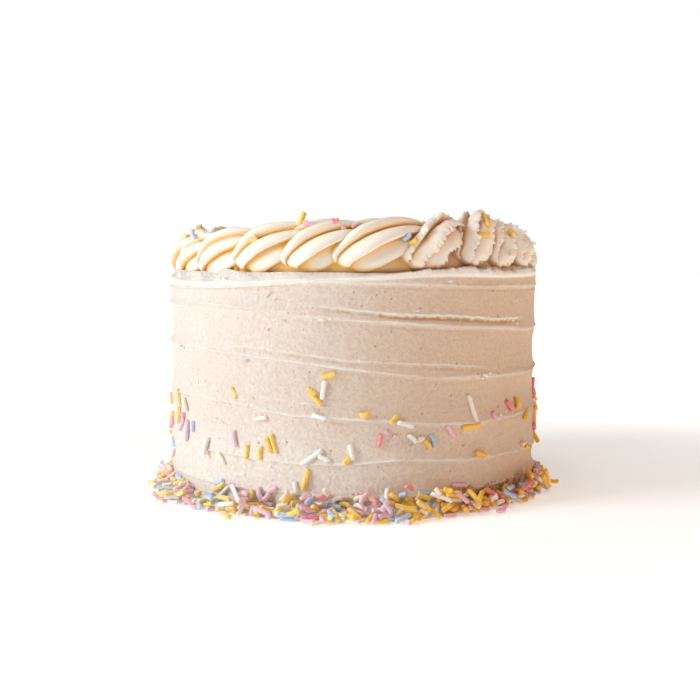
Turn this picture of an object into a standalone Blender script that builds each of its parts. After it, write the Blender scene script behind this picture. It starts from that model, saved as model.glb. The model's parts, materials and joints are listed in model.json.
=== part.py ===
"""Uncut vanilla cake: an iced drum with scraper lines round its side, a ring of piped shells on its top edge,
and sugar strands stuck to it and heaped round its foot. Metres, +Z up, origin at the middle of its base."""

import math
import random

import bmesh
import bpy
from mathutils import Matrix, Vector
from mathutils.bvhtree import BVHTree

TURN = 2 * math.pi
GOLDEN_ANGLE = TURN * (1 - 1 / ((1 + math.sqrt(5)) / 2))
DOWN = Vector((0, 0, -1))
GAP = 0.0003  # between two pieces that touch
SAME_POINT = 1e-6

# Iced drum
DRUM_RADIUS = 0.0800
DRUM_HEIGHT = 0.0952
DRUM_COLUMNS = 56
RIM_ROUNDING = 0.0011
TOP_DISH = 0.0006  # how far the middle of the top lies below its edge
TOP_INNER_RING = 0.040
# Each pass of the scraper leaves a raised line: its mean height, and how far it is above that at the left
SCRAPER_LINES = (
    (0.0897, 0.0003),
    (0.0770, 0.0058),
    (0.0597, 0.0060),
    (0.0403, 0.0042),
    (0.0223, 0.0020),
    (0.0098, 0.0006),
)
LINE_WAVER = 0.0007
LINE_RISE = 0.0013  # how far a line stands out from the hollows
HOLLOW = 0.18  # how far down a band its hollow begins
TOP_HOLLOW = 0.6  # the same for the band under the rim, which has no line above it
LEDGE_WIDTH = 0.0036  # the strip that is left standing above the next line
LEDGE_RISE = 0.0004

# Piped shells
SHELL_RING_RADIUS = 0.0700
FRONT_SHELLS = (-80, -66, -49.5, -32.5, -15.5, 1, 20.5, 39, 52, 66, 80)  # degrees from the front, to the right
BACK_SHELLS = 11  # as many again, evenly round the back
# A shell's middle line from its head, which bulges back over the tail before it, to its own tail under the
# next head: share of the way to that head, outward, up, and radius of the icing there
SMOOTH_LINE = (
    (-0.27, 0.0012, 0.0030, 0.0),
    (-0.16, 0.0014, 0.0056, 0.0082),
    (0.12, 0.0010, 0.0080, 0.0106),
    (0.46, 0.0002, 0.0098, 0.0102),
    (0.84, -0.0014, 0.0108, 0.0082),
    (1.20, -0.0030, 0.0104, 0.0060),
    (1.36, -0.0038, 0.0098, 0.0),
)
TORN_LINE = (
    (-0.24, 0.0026, 0.0036, 0.0),
    (-0.12, 0.0028, 0.0064, 0.0074),
    (0.12, 0.0020, 0.0094, 0.0094),
    (0.40, 0.0004, 0.0130, 0.0092),
    (0.68, -0.0024, 0.0146, 0.0076),
    (0.96, -0.0050, 0.0126, 0.0058),
    (1.12, -0.0062, 0.0110, 0.0),
)
LOBES = 6
FIRST_LOBE = math.radians(8)
LOBE_SPREAD = math.radians(9)
GROOVE_DEPTH = 0.32
CREST_PLACE = 0.72  # where in a lobe its crest lies, which makes the lobes lean over one another
SMOOTH_TWIST = math.radians(78)
TORN_TWIST = math.radians(105)
RAGGED_FROM = math.radians(8)
RAGGED_TO = math.radians(92)
RAGGED_FADE = math.radians(10)
SIZE_SPREAD = 0.04
BED_RADIUS = 0.0690
BED_PROFILE = ((-0.0065, -0.002), (-0.0050, 0.007), (0.0, 0.0105), (0.0045, 0.0070), (0.0060, -0.002))
BED_COLUMNS = 33
CUTTER_SIZE = 0.4

# Sugar strands
STRAND_RADIUS = 0.00085
STRAND_SIDES = 4
STRAND_SINK = 0.00035  # how deep a strand is pressed in
STRAND_LENGTHS = (0.0036, 0.0078)
BORDER_STRANDS = 18
TOP_STRANDS = 8
BACK_STRANDS = 16
HEAP_STRANDS = 176
BACK_FROM = math.radians(95)
BACK_TO = math.radians(265)
BACK_HEIGHTS = (0.016, 0.052)
BACK_LEAN = 0.9
TOP_STRAND_REACH = 0.050
BORDER_STRAND_REACH = (-0.006, 0.005)
# Strands on the side that faces the viewer: azimuth, lean from upright and height and length in millimetres
FRONT_STRANDS = (
    (-71, 5, 43, 8), (-72, 4, 35, 7), (-76, 8, 28, 6), (-64, -12, 33, 6), (-59, 3, 31, 9), (-54, -4, 34, 5),
    (-62, 10, 42, 6), (-44, -12, 26, 7), (-40, 25, 22, 6), (-39, 15, 48, 5), (-30, 8, 31, 6), (-26, 0, 27, 5),
    (-21, 0, 26, 5), (-17, 12, 29, 7), (-20, 14, 30, 5), (-12, 25, 47, 6), (-9, -8, 49, 7), (-8, -75, 53, 5),
    (-11, 70, 40, 6), (-12, -50, 24, 10), (-8, 65, 24, 4), (0, 30, 24, 4), (0, 3, 26, 6), (3, -55, 40, 4),
    (9, -30, 38, 5), (12, 40, 37, 7), (8, -10, 30, 5), (10, 0, 34, 3), (15, 45, 29, 4), (19, 40, 28, 5),
    (21, 15, 29, 5), (26, 25, 33, 5), (31, -75, 36, 7), (31, 15, 45, 11), (40, 10, 40, 4), (47, 22, 41, 5),
    (51, -5, 44, 5), (61, -20, 38, 5), (37, 60, 24, 4), (66, -25, 25, 5), (76, 10, 41, 8), (80, 5, 32, 8),
    (-14, -10, 14.5, 8), (-19, 5, 13.5, 5), (6, 4, 13, 6),
)

# Heap round the base: a low wedge with strands lying on it
HEAP_REACH = 0.0092
HEAP_REACH_WAVER = 0.0014
HEAP_HEIGHT = 0.0070
HEAP_EDGE = 0.0009
HEAP_SHOULDER = (0.40, 0.0042)  # share of the reach, and height there
HEAP_STRAND_SHARES = (0.3, 1.0)
HEAP_EDGE_MARGIN = 0.0006
HEAP_TIPS = (-0.45, 0.20)  # slope of a strand that points outward

ICING = (0.80, 0.66, 0.53, 1)
PIPING = (0.86, 0.72, 0.55, 1)
STRANDS = (0.84, 0.50, 0.42, 1)


def clear_scene():
    for old in list(bpy.data.objects):
        bpy.data.objects.remove(old, do_unlink=True)


def material(name, colour, roughness):
    made = bpy.data.materials.new(name)
    made.use_nodes = True
    shader = made.node_tree.nodes["Principled BSDF"]
    shader.inputs["Base Color"].default_value = colour
    shader.inputs["Roughness"].default_value = roughness
    shader.inputs["Metallic"].default_value = 0.0
    return made


def around(azimuth, radius, height):
    """Point at an azimuth that runs from the front, -Y, towards the right, +X."""
    return Vector((radius * math.sin(azimuth), -radius * math.cos(azimuth), height))


def between(low, high, share):
    return low + (high - low) * share


def waver(azimuth, key, size):
    """Slow uneven wave round the cake, between about -size and size."""
    draw = random.Random(key)
    return size * sum(math.sin(n * azimuth + draw.uniform(0, TURN)) / n for n in (2, 3, 5))


def new_object(name, mesh_builder, collection=None):
    made = bpy.data.objects.new(name, bpy.data.meshes.new(name))
    (collection or bpy.context.scene.collection).objects.link(made)
    bmesh.ops.recalc_face_normals(mesh_builder, faces=mesh_builder.faces)
    mesh_builder.to_mesh(made.data)
    mesh_builder.free()
    return made


def grid_of_rings(builder, rings):
    """Joins rings of points, each with as many points, into bands. The first and last may be one point."""
    made = [[builder.verts.new(point) for point in ring] for ring in rings]
    for upper, lower in zip(made, made[1:]):
        count = max(len(upper), len(lower))
        for n in range(count):
            corners = [upper[n % len(upper)], lower[n % len(lower)]]
            corners += [lower[(n + 1) % len(lower)], upper[(n + 1) % len(upper)]]
            builder.faces.new(list(dict.fromkeys(corners)))
    return made


def line_height(line, azimuth):
    height, dip = SCRAPER_LINES[line]
    return height - dip * math.sin(azimuth) + waver(azimuth, line, LINE_WAVER)


def band_edges(azimuth):
    """Heights where the side's bands meet, from the top edge down to the foot."""
    lines = [line_height(n, azimuth) for n in range(len(SCRAPER_LINES))]
    return [DRUM_HEIGHT - RIM_ROUNDING, *lines, 0.0]


def side_rings():
    """Rings of the side from the top edge to the foot. Each row follows the scraper lines."""
    last = len(SCRAPER_LINES)
    rows = [(0, 0.0, 0.0), (0, TOP_HOLLOW, 0.0)]
    for band in range(1, last):
        rows += [(band, 0.0, LINE_RISE), (band, HOLLOW, 0.0), (band, None, LEDGE_RISE)]
    rows += [(last, 0.0, LINE_RISE), (last, HOLLOW, 0.0), (last, 1.0, 0.0)]
    rings = []
    for band, share, bulge in rows:
        ring = []
        for n in range(DRUM_COLUMNS):
            azimuth = TURN * n / DRUM_COLUMNS
            edges = band_edges(azimuth)
            if share is None:
                height = edges[band + 1] + LEDGE_WIDTH
            else:
                height = between(edges[band], edges[band + 1], share)
            ring.append(around(azimuth, DRUM_RADIUS + bulge, height))
        rings.append(ring)
    return rings


def top_rings():
    """Rings of the top from its middle out to the rounded edge."""
    rings = [[Vector((0, 0, DRUM_HEIGHT - TOP_DISH))]]
    for radius in (TOP_INNER_RING, DRUM_RADIUS - RIM_ROUNDING):
        height = DRUM_HEIGHT - TOP_DISH * (1 - radius / DRUM_RADIUS)
        rings.append([around(TURN * n / DRUM_COLUMNS, radius, height) for n in range(DRUM_COLUMNS)])
    return rings


def drum():
    builder = bmesh.new()
    rings = grid_of_rings(builder, top_rings() + side_rings())
    builder.faces.new(reversed(rings[-1]))
    return new_object("iced_cake", builder)


def ragged(azimuth):
    """1 where the piping has torn edges and stands steeper, 0 where it is smooth."""
    middle, half = (RAGGED_FROM + RAGGED_TO) / 2, (RAGGED_TO - RAGGED_FROM) / 2
    away = abs((azimuth - middle + math.pi) % TURN - math.pi)
    return min(1.0, max(0.0, (half - away) / RAGGED_FADE))


def shell_azimuths():
    """The azimuths of all the heads in order, and that of the first again a turn later."""
    front = [math.radians(a) for a in FRONT_SHELLS]
    step = (front[0] + TURN - front[-1]) / (BACK_SHELLS + 1)
    back = [front[-1] + step * (n + 1) for n in range(BACK_SHELLS)]
    return [*front, *back, front[0] + TURN]


def shell_rings(number):
    """One squeeze of the piping bag, laid along the ring: star-shaped rings with a point at each end."""
    draw = random.Random(number)
    heads = shell_azimuths()
    spacing = heads[number + 1] - heads[number]
    torn = ragged(heads[number])
    size = 1 + draw.uniform(-SIZE_SPREAD, SIZE_SPREAD)
    first_lobe = FIRST_LOBE + draw.uniform(-LOBE_SPREAD, LOBE_SPREAD)
    line = [[between(a, b, torn) for a, b in zip(*rows)] for rows in zip(SMOOTH_LINE, TORN_LINE)]
    azimuths = [heads[number] + spacing * row[0] for row in line]
    middles = [
        around(azimuth, SHELL_RING_RADIUS + outward, DRUM_HEIGHT + up * size)
        for azimuth, (_, outward, up, _) in zip(azimuths, line)
    ]
    rings = [[middles[0]]]
    for n in range(1, len(line) - 1):
        forward = (middles[n + 1] - middles[n - 1]).normalized()
        out = around(azimuths[n], 1, 0)
        out = (out - forward * out.dot(forward)).normalized()
        over = out.cross(forward)
        turned = first_lobe + between(SMOOTH_TWIST, TORN_TWIST, torn) * n / (len(line) - 1)
        ring = []
        for lobe in range(LOBES):
            for place, depth in ((0.0, GROOVE_DEPTH), (CREST_PLACE, 0.0)):
                angle = turned - TURN * (lobe + place) / LOBES
                reach = line[n][3] * size * (1 - depth)
                ring.append(middles[n] + (out * math.cos(angle) + over * math.sin(angle)) * reach)
        rings.append(ring)
    return rings + [[middles[-1]]]


def shell_object(number, collection):
    builder = bmesh.new()
    grid_of_rings(builder, shell_rings(number))
    return new_object(f"shell_{number:02d}", builder, collection)


def closed_ring(name, rings):
    """One body from rings of points that run on round to the first."""
    builder = bmesh.new()
    grid_of_rings(builder, rings + [rings[0]])
    bmesh.ops.remove_doubles(builder, verts=builder.verts, dist=SAME_POINT)
    return new_object(name, builder)


def shell_bed():
    """The plain rope of icing that fills the hollows under the shells."""
    rings = []
    for outward, up in BED_PROFILE:
        turns = [TURN * n / BED_COLUMNS for n in range(BED_COLUMNS)]
        rings.append([around(a, BED_RADIUS + outward, DRUM_HEIGHT + up) for a in turns])
    return closed_ring("piped_border", rings)


def strand(middle, along, length, collection):
    """A straight sugar strand: a thin rod with its middle at a point."""
    builder = bmesh.new()
    radii = {"radius1": STRAND_RADIUS, "radius2": STRAND_RADIUS}
    bmesh.ops.create_cone(builder, cap_ends=True, segments=STRAND_SIDES, depth=length, **radii)
    turned = Vector(along).to_track_quat("Z", "Y").to_matrix().to_4x4()
    builder.transform(Matrix.Translation(middle) @ turned)
    return new_object("strand", builder, collection)


def surface_of(objects):
    """One tree of all the faces, to find where a strand lands."""
    points, faces = [], []
    for thing in objects:
        first = len(points)
        points += [thing.matrix_world @ v.co for v in thing.data.vertices]
        faces += [[first + n for n in face.vertices] for face in thing.data.polygons]
    return BVHTree.FromPolygons(points, faces)


def lie_on(surface, above, yaw, length, collection):
    """Drops a strand straight down from above and presses it a little into the surface that it meets."""
    spot, normal, _, _ = surface.ray_cast(above, DOWN)
    if spot is None:
        return
    along = Vector((math.cos(yaw), math.sin(yaw), 0))
    along = (along - normal * along.dot(normal)).normalized()
    strand(spot + normal * (STRAND_RADIUS - STRAND_SINK), along, length, collection)


def press_on_side(surface, azimuth, height, lean, length, collection):
    """Presses a strand into the side, leaning from upright towards the right."""
    outside = around(azimuth, 2 * DRUM_RADIUS, height)
    spot, normal, _, _ = surface.ray_cast(outside, around(azimuth, -1, 0))
    right = around(azimuth + TURN / 4, 1, 0)
    along = Vector((0, 0, 1)) * math.cos(lean) + right * math.sin(lean)
    along = (along - normal * along.dot(normal)).normalized()
    out = around(azimuth, 1, 0)
    strand(spot + out * (STRAND_RADIUS - STRAND_SINK), along, length, collection)


def join(target, collection):
    """One union of target with all of a collection, which is then removed."""
    union = target.modifiers.new("union", "BOOLEAN")
    union.operation = "UNION"
    union.operand_type = "COLLECTION"
    union.collection = collection
    union.solver = "EXACT"
    apply_modifiers(target)
    for piece in list(collection.objects):
        bpy.data.objects.remove(piece, do_unlink=True)
    bpy.data.collections.remove(collection)


def apply_modifiers(target):
    shape = bpy.data.meshes.new_from_object(target.evaluated_get(bpy.context.evaluated_depsgraph_get()))
    target.modifiers.clear()
    target.data = shape


def new_collection(name):
    made = bpy.data.collections.new(name)
    bpy.context.scene.collection.children.link(made)
    return made


def dress_drum(cake):
    """Sticks strands to the side and strews a few on the top."""
    surface = surface_of([cake])
    stuck = new_collection("stuck_strands")
    for azimuth, lean, height, length in FRONT_STRANDS:
        press_on_side(surface, math.radians(azimuth), height / 1000, math.radians(lean), length / 1000, stuck)
    draw = random.Random(7)
    for n in range(BACK_STRANDS):
        azimuth = between(BACK_FROM, BACK_TO, (n + draw.random()) / BACK_STRANDS)
        height = between(*BACK_HEIGHTS, draw.random() ** 2)
        length = draw.uniform(*STRAND_LENGTHS)
        press_on_side(surface, azimuth, height, draw.uniform(-BACK_LEAN, BACK_LEAN), length, stuck)
    for n in range(TOP_STRANDS):
        radius = TOP_STRAND_REACH * math.sqrt((n + 0.5) / TOP_STRANDS)
        above = around(GOLDEN_ANGLE * n, radius, 2 * DRUM_HEIGHT)
        lie_on(surface, above, draw.uniform(0, TURN), draw.uniform(*STRAND_LENGTHS), stuck)
    join(cake, stuck)


def piped_border():
    """The ring of shells with strands strewn over it, cut flat where it sits on the drum."""
    pieces = new_collection("shells")
    shells = [shell_object(n, pieces) for n in range(len(FRONT_SHELLS) + BACK_SHELLS)]
    surface = surface_of(shells)
    draw = random.Random(11)
    for n in range(BORDER_STRANDS):
        azimuth = TURN * (n + draw.random()) / BORDER_STRANDS
        radius = SHELL_RING_RADIUS + draw.uniform(*BORDER_STRAND_REACH)
        above = around(azimuth, radius, 2 * DRUM_HEIGHT)
        lie_on(surface, above, draw.uniform(0, TURN), draw.uniform(*STRAND_LENGTHS), pieces)
    border = shell_bed()
    join(border, pieces)
    cut_flat(border, DRUM_HEIGHT + GAP)
    return border


def cut_flat(target, height):
    """Cuts away what lies below a height."""
    builder = bmesh.new()
    middle = Matrix.Translation((0, 0, height - CUTTER_SIZE / 2))
    bmesh.ops.create_cube(builder, size=CUTTER_SIZE, matrix=middle)
    block = new_object("block", builder)
    cut = target.modifiers.new("cut", "BOOLEAN")
    cut.operation = "DIFFERENCE"
    cut.object = block
    apply_modifiers(target)
    bpy.data.objects.remove(block, do_unlink=True)


def heap_reach(azimuth):
    return HEAP_REACH + waver(azimuth, 31, HEAP_REACH_WAVER)


def heap_core():
    """The smear of icing and buried strands that the heap stands on: a low wedge round the foot."""
    inner = DRUM_RADIUS + GAP
    profile = ((0.0, 0.0), (0.0, HEAP_HEIGHT), HEAP_SHOULDER, (1.0, HEAP_EDGE), (1.0, 0.0))
    rings = []
    for share, height in profile:
        ring = []
        for n in range(DRUM_COLUMNS):
            azimuth = TURN * n / DRUM_COLUMNS
            ring.append(around(azimuth, inner + share * heap_reach(azimuth), height))
        rings.append(ring)
    return closed_ring("foot_strands", rings)


def foot_heap():
    """Strands lying every way on the wedge, the outer ones half on the surface that the cake stands on."""
    heap = heap_core()
    surface = surface_of([heap])
    pieces = new_collection("heaped_strands")
    draw = random.Random(23)
    nearest = DRUM_RADIUS + LINE_RISE + GAP + STRAND_RADIUS
    for n in range(HEAP_STRANDS):
        azimuth = GOLDEN_ANGLE * n
        length = draw.uniform(*STRAND_LENGTHS)
        yaw = draw.uniform(0, TURN / 2)
        sideways = abs(math.sin(yaw)) * length / 2
        reach = (heap_reach(azimuth) - HEAP_EDGE_MARGIN) * between(*HEAP_STRAND_SHARES, draw.random())
        outward = max(nearest + sideways, DRUM_RADIUS + reach)
        spot, _, _, _ = surface.ray_cast(around(azimuth, outward, DRUM_HEIGHT), DOWN)
        if spot is None:
            continue
        flat = around(azimuth + TURN / 4, math.cos(yaw), 0) + around(azimuth, math.sin(yaw), 0)
        along = (flat - DOWN * draw.uniform(*HEAP_TIPS) * math.sin(yaw)).normalized()
        lowest = STRAND_RADIUS + abs(along.z) * length / 2
        middle = Vector((spot.x, spot.y, max(lowest, spot.z + STRAND_RADIUS - STRAND_SINK)))
        strand(middle, along, length, pieces)
    join(heap, pieces)
    return heap


def main():
    clear_scene()
    cake = drum()
    dress_drum(cake)
    border = piped_border()
    heap = foot_heap()
    for thing, colour, roughness in ((cake, ICING, 0.55), (border, PIPING, 0.5), (heap, STRANDS, 0.45)):
        thing.data.materials.clear()
        thing.data.materials.append(material(thing.name, colour, roughness))
        bpy.context.view_layer.update()


main()
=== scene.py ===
"""Looks of the vanilla cake: scraped buttercream, piped shells and sugar strands round the CAD part."""

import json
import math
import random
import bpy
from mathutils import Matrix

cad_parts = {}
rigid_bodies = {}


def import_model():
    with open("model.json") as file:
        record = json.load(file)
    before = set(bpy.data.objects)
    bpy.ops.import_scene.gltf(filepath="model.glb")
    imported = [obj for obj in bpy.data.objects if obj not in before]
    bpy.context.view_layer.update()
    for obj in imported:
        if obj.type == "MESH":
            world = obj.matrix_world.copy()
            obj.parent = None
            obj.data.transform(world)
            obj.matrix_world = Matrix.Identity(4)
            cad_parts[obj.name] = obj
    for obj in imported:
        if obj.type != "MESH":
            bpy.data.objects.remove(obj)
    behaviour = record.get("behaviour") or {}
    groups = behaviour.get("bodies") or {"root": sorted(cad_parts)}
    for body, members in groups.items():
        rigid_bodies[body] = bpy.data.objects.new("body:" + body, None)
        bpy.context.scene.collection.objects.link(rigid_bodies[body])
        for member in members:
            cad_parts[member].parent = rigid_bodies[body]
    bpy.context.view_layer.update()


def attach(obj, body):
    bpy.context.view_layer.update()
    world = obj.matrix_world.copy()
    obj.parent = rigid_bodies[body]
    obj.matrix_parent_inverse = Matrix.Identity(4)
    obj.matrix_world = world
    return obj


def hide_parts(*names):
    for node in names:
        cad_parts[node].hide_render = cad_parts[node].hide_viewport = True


bl_info = {
    "name": "Vanilla cake",
    "version": (1, 0, 0),
    "blender": (4, 5, 0),
    "location": "3D View > Sidebar > Cake",
    "description": "Builds an uncut vanilla cake with scraped icing, a piped border and sugar strands",
    "category": "Object",
}

import bmesh
import bpy
import numpy as np
from bpy.props import FloatProperty, FloatVectorProperty, IntProperty, PointerProperty
from bpy.types import Operator, Panel, PropertyGroup
from mathutils import Euler, Matrix, Vector, noise
from mathutils.bvhtree import BVHTree

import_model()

MM = 0.001
PER_METRE = 1000.0
TURN = 2 * math.pi
GOLDEN_ANGLE = TURN * (1 - 1 / ((1 + math.sqrt(5)) / 2))

# Iced drum, in millimetres and degrees; azimuth 0 is the front, and it runs towards the right
FRONT_COLUMNS = 420
BACK_COLUMNS = 220
FRONT_HALF = 72.0
# Lines that the scraper left, as (azimuth, height); between the last and the first they run on round the back
SCRAPER_LINES = (
    ((-68, 87.3), (-39, 88.5), (-24, 89.7), (-15, 90.9), (-4, 90.7), (20, 89.9), (35, 89.1), (62, 88.0),
     (180, 89.7)),
    ((-67, 80.8), (-45, 81.3), (-27, 79.9), (-15, 77.6), (-1, 76.4), (13, 74.9), (28, 73.3), (47, 71.7),
     (65, 69.8), (115, 71.5), (180, 77.0), (245, 82.0)),
    ((-67, 64.1), (-50, 63.3), (-34, 62.3), (-15, 59.8), (-1, 57.4), (13, 55.2), (28, 53.1), (43, 52.7),
     (68, 52.3), (115, 54.5), (180, 59.7), (245, 64.7)),
    ((-69, 43.2), (-51, 43.6), (-35, 42.6), (-21, 39.6), (-1, 38.0), (10, 37.3), (25, 35.1), (39, 34.4),
     (47, 35.4), (64, 35.7), (115, 37.0), (180, 40.3), (245, 43.6)),
    ((-65, 23.1), (-44, 22.1), (-32, 21.8), (-15, 20.4), (-1, 20.5), (13, 22.1), (28, 20.7), (39, 19.6),
     (48, 20.2), (64, 19.0), (115, 20.5), (180, 22.3), (245, 24.0)),
    ((-60, 9.6), (-36, 9.2), (-21, 9.2), (-9, 8.1), (-1, 7.9), (13, 7.3), (60, 9.2), (180, 9.8), (245, 10.2)),
)
TOP_EDGE = ((-63, 90.2), (-39, 90.5), (-22, 91.6), (-1, 92.5), (9, 93.5), (20, 94.3), (31, 94.4), (45, 93.5),
            (62, 93.4), (120, 94.0), (180, 93.8), (240, 94.1))
# Second lines above some of the scraper lines. Each has the number of the line under it, the azimuths where
# it starts, is full, fades and ends, how far above it is at some azimuths, and the depth of its furrow
FURROWS = (
    (1, (-30, 22, 54, 66), ((-20, 5.2), (13, 3.6), (28, 4.4), (47, 3.8), (66, 5.6)), 0.62),
    (2, (-50, -30, 34, 46), ((-50, 1.4), (-30, 3.8), (-1, 3.5), (13, 4.6), (28, 5.3), (46, 3.6)), 0.28),
    (3, (-36, -24, -12, 4), ((-36, 2.0), (-21, 5.9), (2, 3.7)), 0.22),
    (2, (120, 150, 180, 205), ((120, 2.2), (160, 4.4), (205, 3.0)), 0.38),
    (3, (150, 190, 225, 260), ((150, 2.4), (200, 4.8), (260, 2.4)), 0.45),
    (1, (215, 235, 262, 285), ((215, 2.0), (250, 4.4), (285, 2.0)), 0.38),
)
LIP_STRENGTHS = (0.9, 1.0, 1.0, 0.9, 0.75, 0.25)
ROWS_UNDER_LINE = (0.0, 0.18, 0.4, 0.7, 1.1, 1.7, 2.5)
ROWS_OVER_LINE = (6.2, 5.6, 5.0, 4.5, 4.0, 3.5, 3.0, 2.5, 2.0, 1.5, 1.1, 0.75, 0.45, 0.2)
ROWS_UNDER_SHARE = 0.3
ROWS_OVER_SHARE = 0.42
ROW_SPACING = 1.9
NOISE_RADIUS = 80
SIDE_STARTS = 77
HOLLOW_POWER = 0.72
TOP_HOLLOW = 0.35
FOOT_HOLLOW = 0.7
# Slow to fine unevenness of the icing, as (depth and size in millimetres, seed)
UNEVENNESS = ((0.30, 26.0, 11), (0.10, 6.0, 12), (0.035, 1.7, 13))
# Steps of the rim, as (millimetres inward, share of the rise), and where it is torn: from, to and fade
RIM_STEPS = ((2.4, 0.75), (1.7, 0.98), (1.0, 0.90), (0.45, 0.60), (0.12, 0.25))
RIM_RISE = 0.8
TORN_RIM = (12, 92, 14)
LUMP_ON_RIM = (-46, -35, 5)
# Rings of the top from the rim inward, as (points in a ring, radii)
TOP_RINGS = (
    (320, (79.0, 77.0, 74.5, 71.5, 68.0, 64.0, 60.5, 57.5, 54.5, 51.5)),
    (160, (48.5, 45.5, 42.5, 39.5, 36.5, 33.5, 30.5, 27.5)),
    (80, (24.0, 20.5, 17.0, 13.5)),
    (40, (10.0, 7.0, 3.5)),
)

# Piping
FRONT_SHELLS = (-80, -66, -49.5, -32.5, -15.5, 1, 20.5, 39, 52, 66, 80)
BACK_SHELLS = 11
SHELL_RING = 70.0
PIPING_BASE = 95.2
TOP_LEVEL = PIPING_BASE - 0.3
SHELL_SINK = ((-90, 3.2), (-50, 3.3), (-18, 2.5), (17, 1.8), (34, 2.4), (62, 2.3), (120, 1.6), (230, 2.0))
SHELL_TALLNESS = ((-90, 1.1), (-66, 0.98), (-49.5, 1.03), (-32.5, 1.38), (-15.5, 1.42), (1, 1.40),
                  (20.5, 1.10), (39, 1.38), (52, 1.10), (66, 0.98), (80, 0.70), (100, 0.84), (140, 1.08),
                  (230, 1.15))
# A shell's middle line: share of the way to the next head, outward, up, and radius of the icing there
SMOOTH_LINE = (
    (-0.27, 1.2, 3.0, 0.0),
    (-0.16, 1.4, 5.6, 8.2),
    (0.12, 1.0, 8.0, 10.6),
    (0.46, 0.2, 9.8, 10.2),
    (0.84, -1.4, 10.8, 8.2),
    (1.20, -3.0, 10.4, 6.0),
    (1.36, -3.8, 9.8, 0.0),
)
TORN_LINE = (
    (-0.24, 2.6, 3.6, 0.0),
    (-0.12, 2.8, 6.4, 7.4),
    (0.12, 2.0, 9.4, 9.4),
    (0.40, 0.4, 13.0, 9.2),
    (0.68, -2.4, 14.6, 7.6),
    (0.96, -5.0, 12.6, 5.8),
    (1.12, -6.2, 11.0, 0.0),
)
POINTS_IN_LOBE = 14
SMOOTH_STATIONS = 56
TORN_STATIONS = 128
RAGGED_MIDDLE, RAGGED_HALF, RAGGED_FADE = 50, 42, 10  # degrees between which the shells are torn
CREST_PLACE = 0.58
TORN_CREST_PLACE = 0.74
LOBE_LEAN = 0.28
BED_COLUMNS = 300
BED_RADIUS = 69.0
BED_PROFILE = ((-6.5, -1.5), (-6.2, 3.0), (-5.0, 7.0), (-2.6, 9.6), (0.0, 10.5), (2.6, 9.6), (4.6, 7.0),
               (5.8, 3.0), (6.0, -1.5))
BED_PAINTED_SHADE = 0.7
# Painted gold shade of the piping: in a groove, where shells shelter each other, and from which share of
# shelter on
SHELTER_RAYS = 16
SHELTER_REACH = 0.012
SHELTER_ROUNDS = 4
SHADE_IN_GROOVE = 0.70
SHADE_IN_SHELTER = 1.25
SHELTER_START, SHELTER_SPAN, SHELTER_POWER = 0.23, 0.56, 1.3

# Sugar strands that can be told apart, as pixels of their two ends in the photograph's frame
SIDE_STRANDS = (
    (179, 389, 181, 405, "yellow"), (181, 407, 180, 423, "yellow"), (185, 398, 188, 411, "cream"),
    (174, 411, 174, 416, "yellow"), (174, 417, 174, 425, "coral"), (173, 428, 172, 435, "yellow"),
    (173, 436, 174, 445, "blue"), (182, 414, 187, 415, "coral"), (185, 418, 181, 430, "lilac"),
    (189, 420, 188, 441, "lilac"), (194, 421, 194, 431, "blue"), (208, 438, 207, 455, "cream"),
    (219, 452, 226, 463, "cream"), (232, 388, 236, 398, "yellow"), (322, 375.5, 335, 373, "yellow"),
    (325, 381, 322, 399, "white"), (308, 389, 316, 394, "yellow"), (311, 394, 321, 404, "yellow"),
    (313, 415, 327, 419, "white"), (255, 419, 267, 417, "cream"), (235, 431, 237, 446, "pink"),
    (247, 445, 247, 459, "yellow"), (262, 447, 262, 460, "yellow"), (267, 438, 271, 451, "yellow"),
    (272, 434, 277, 453, "yellow"), (302, 465, 322, 450, "white"), (319, 456, 329, 461, "white"),
    (309, 470, 303, 490, "yellow"), (295, 482, 297, 492, "white"), (217, 484.5, 224, 480.5, "blue"),
    (360, 415, 368, 413, "yellow"), (390, 424, 397, 416, "yellow"), (398, 417, 413, 430, "white"),
    (467, 395, 476, 421, "white"), (462, 428, 479, 425, "yellow"), (505, 401, 511, 410, "coral"),
    (515, 398, 516, 408, "yellow"), (492, 412.5, 496, 418, "lilac"), (526.5, 409, 522.5, 420, "yellow"),
    (447, 426, 455, 437, "pink"), (385, 431, 387, 433, "lilac"), (394, 436, 396, 437, "pink"),
    (381, 435, 378, 447, "coral"), (408, 435, 415, 442, "white"), (417, 440, 423, 438, "cream"),
    (424, 440, 430, 447, "yellow"), (430, 435, 434, 447, "blue"), (350, 445, 353, 460, "white"),
    (344, 463.5, 350, 458.5, "yellow"), (475, 452.5, 485, 456, "yellow"), (519, 446, 525, 441, "cream"),
    (525, 444, 528.5, 451, "yellow"), (452, 485, 465, 485, "lilac"), (418, 492, 429, 493, "blue"),
    (439, 492, 453, 493, "yellow"), (388, 488, 385, 507, "white"), (303, 497, 309, 494, "cream"),
)
# Strands at the edges of the side, as (azimuth, height, lean from upright in degrees, length, colour)
EDGE_STRANDS = (
    (83, 43.5, 8, 7.5, "coral"), (86, 40, 55, 5, "yellow"), (81, 37.5, -60, 4.5, "pink"),
    (84, 35, 12, 6, "yellow"), (82, 30.5, -4, 8.5, "yellow"), (80, 26, -50, 4.5, "coral"),
    (88, 33, -20, 6, "lilac"), (83, 20, 5, 5, "yellow"), (93, 37, 15, 6.5, "yellow"),
    (97, 29, -35, 5.5, "pink"), (101, 41, 65, 5, "cream"), (91, 23, 30, 5, "coral"),
    (-81, 30.2, 0, 3.4, "yellow"), (-81.5, 26.8, 3, 4.2, "coral"), (-81, 23.0, 8, 3.4, "yellow"),
    (-82, 18.6, -6, 4.6, "blue"), (-81, 14.0, 5, 3.4, "pink"), (-80, 38.5, -8, 5.4, "yellow"),
    (-88, 26, -25, 5, "yellow"), (-94, 37, 12, 6, "pink"), (-99, 22, 50, 5, "blue"),
)
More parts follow.
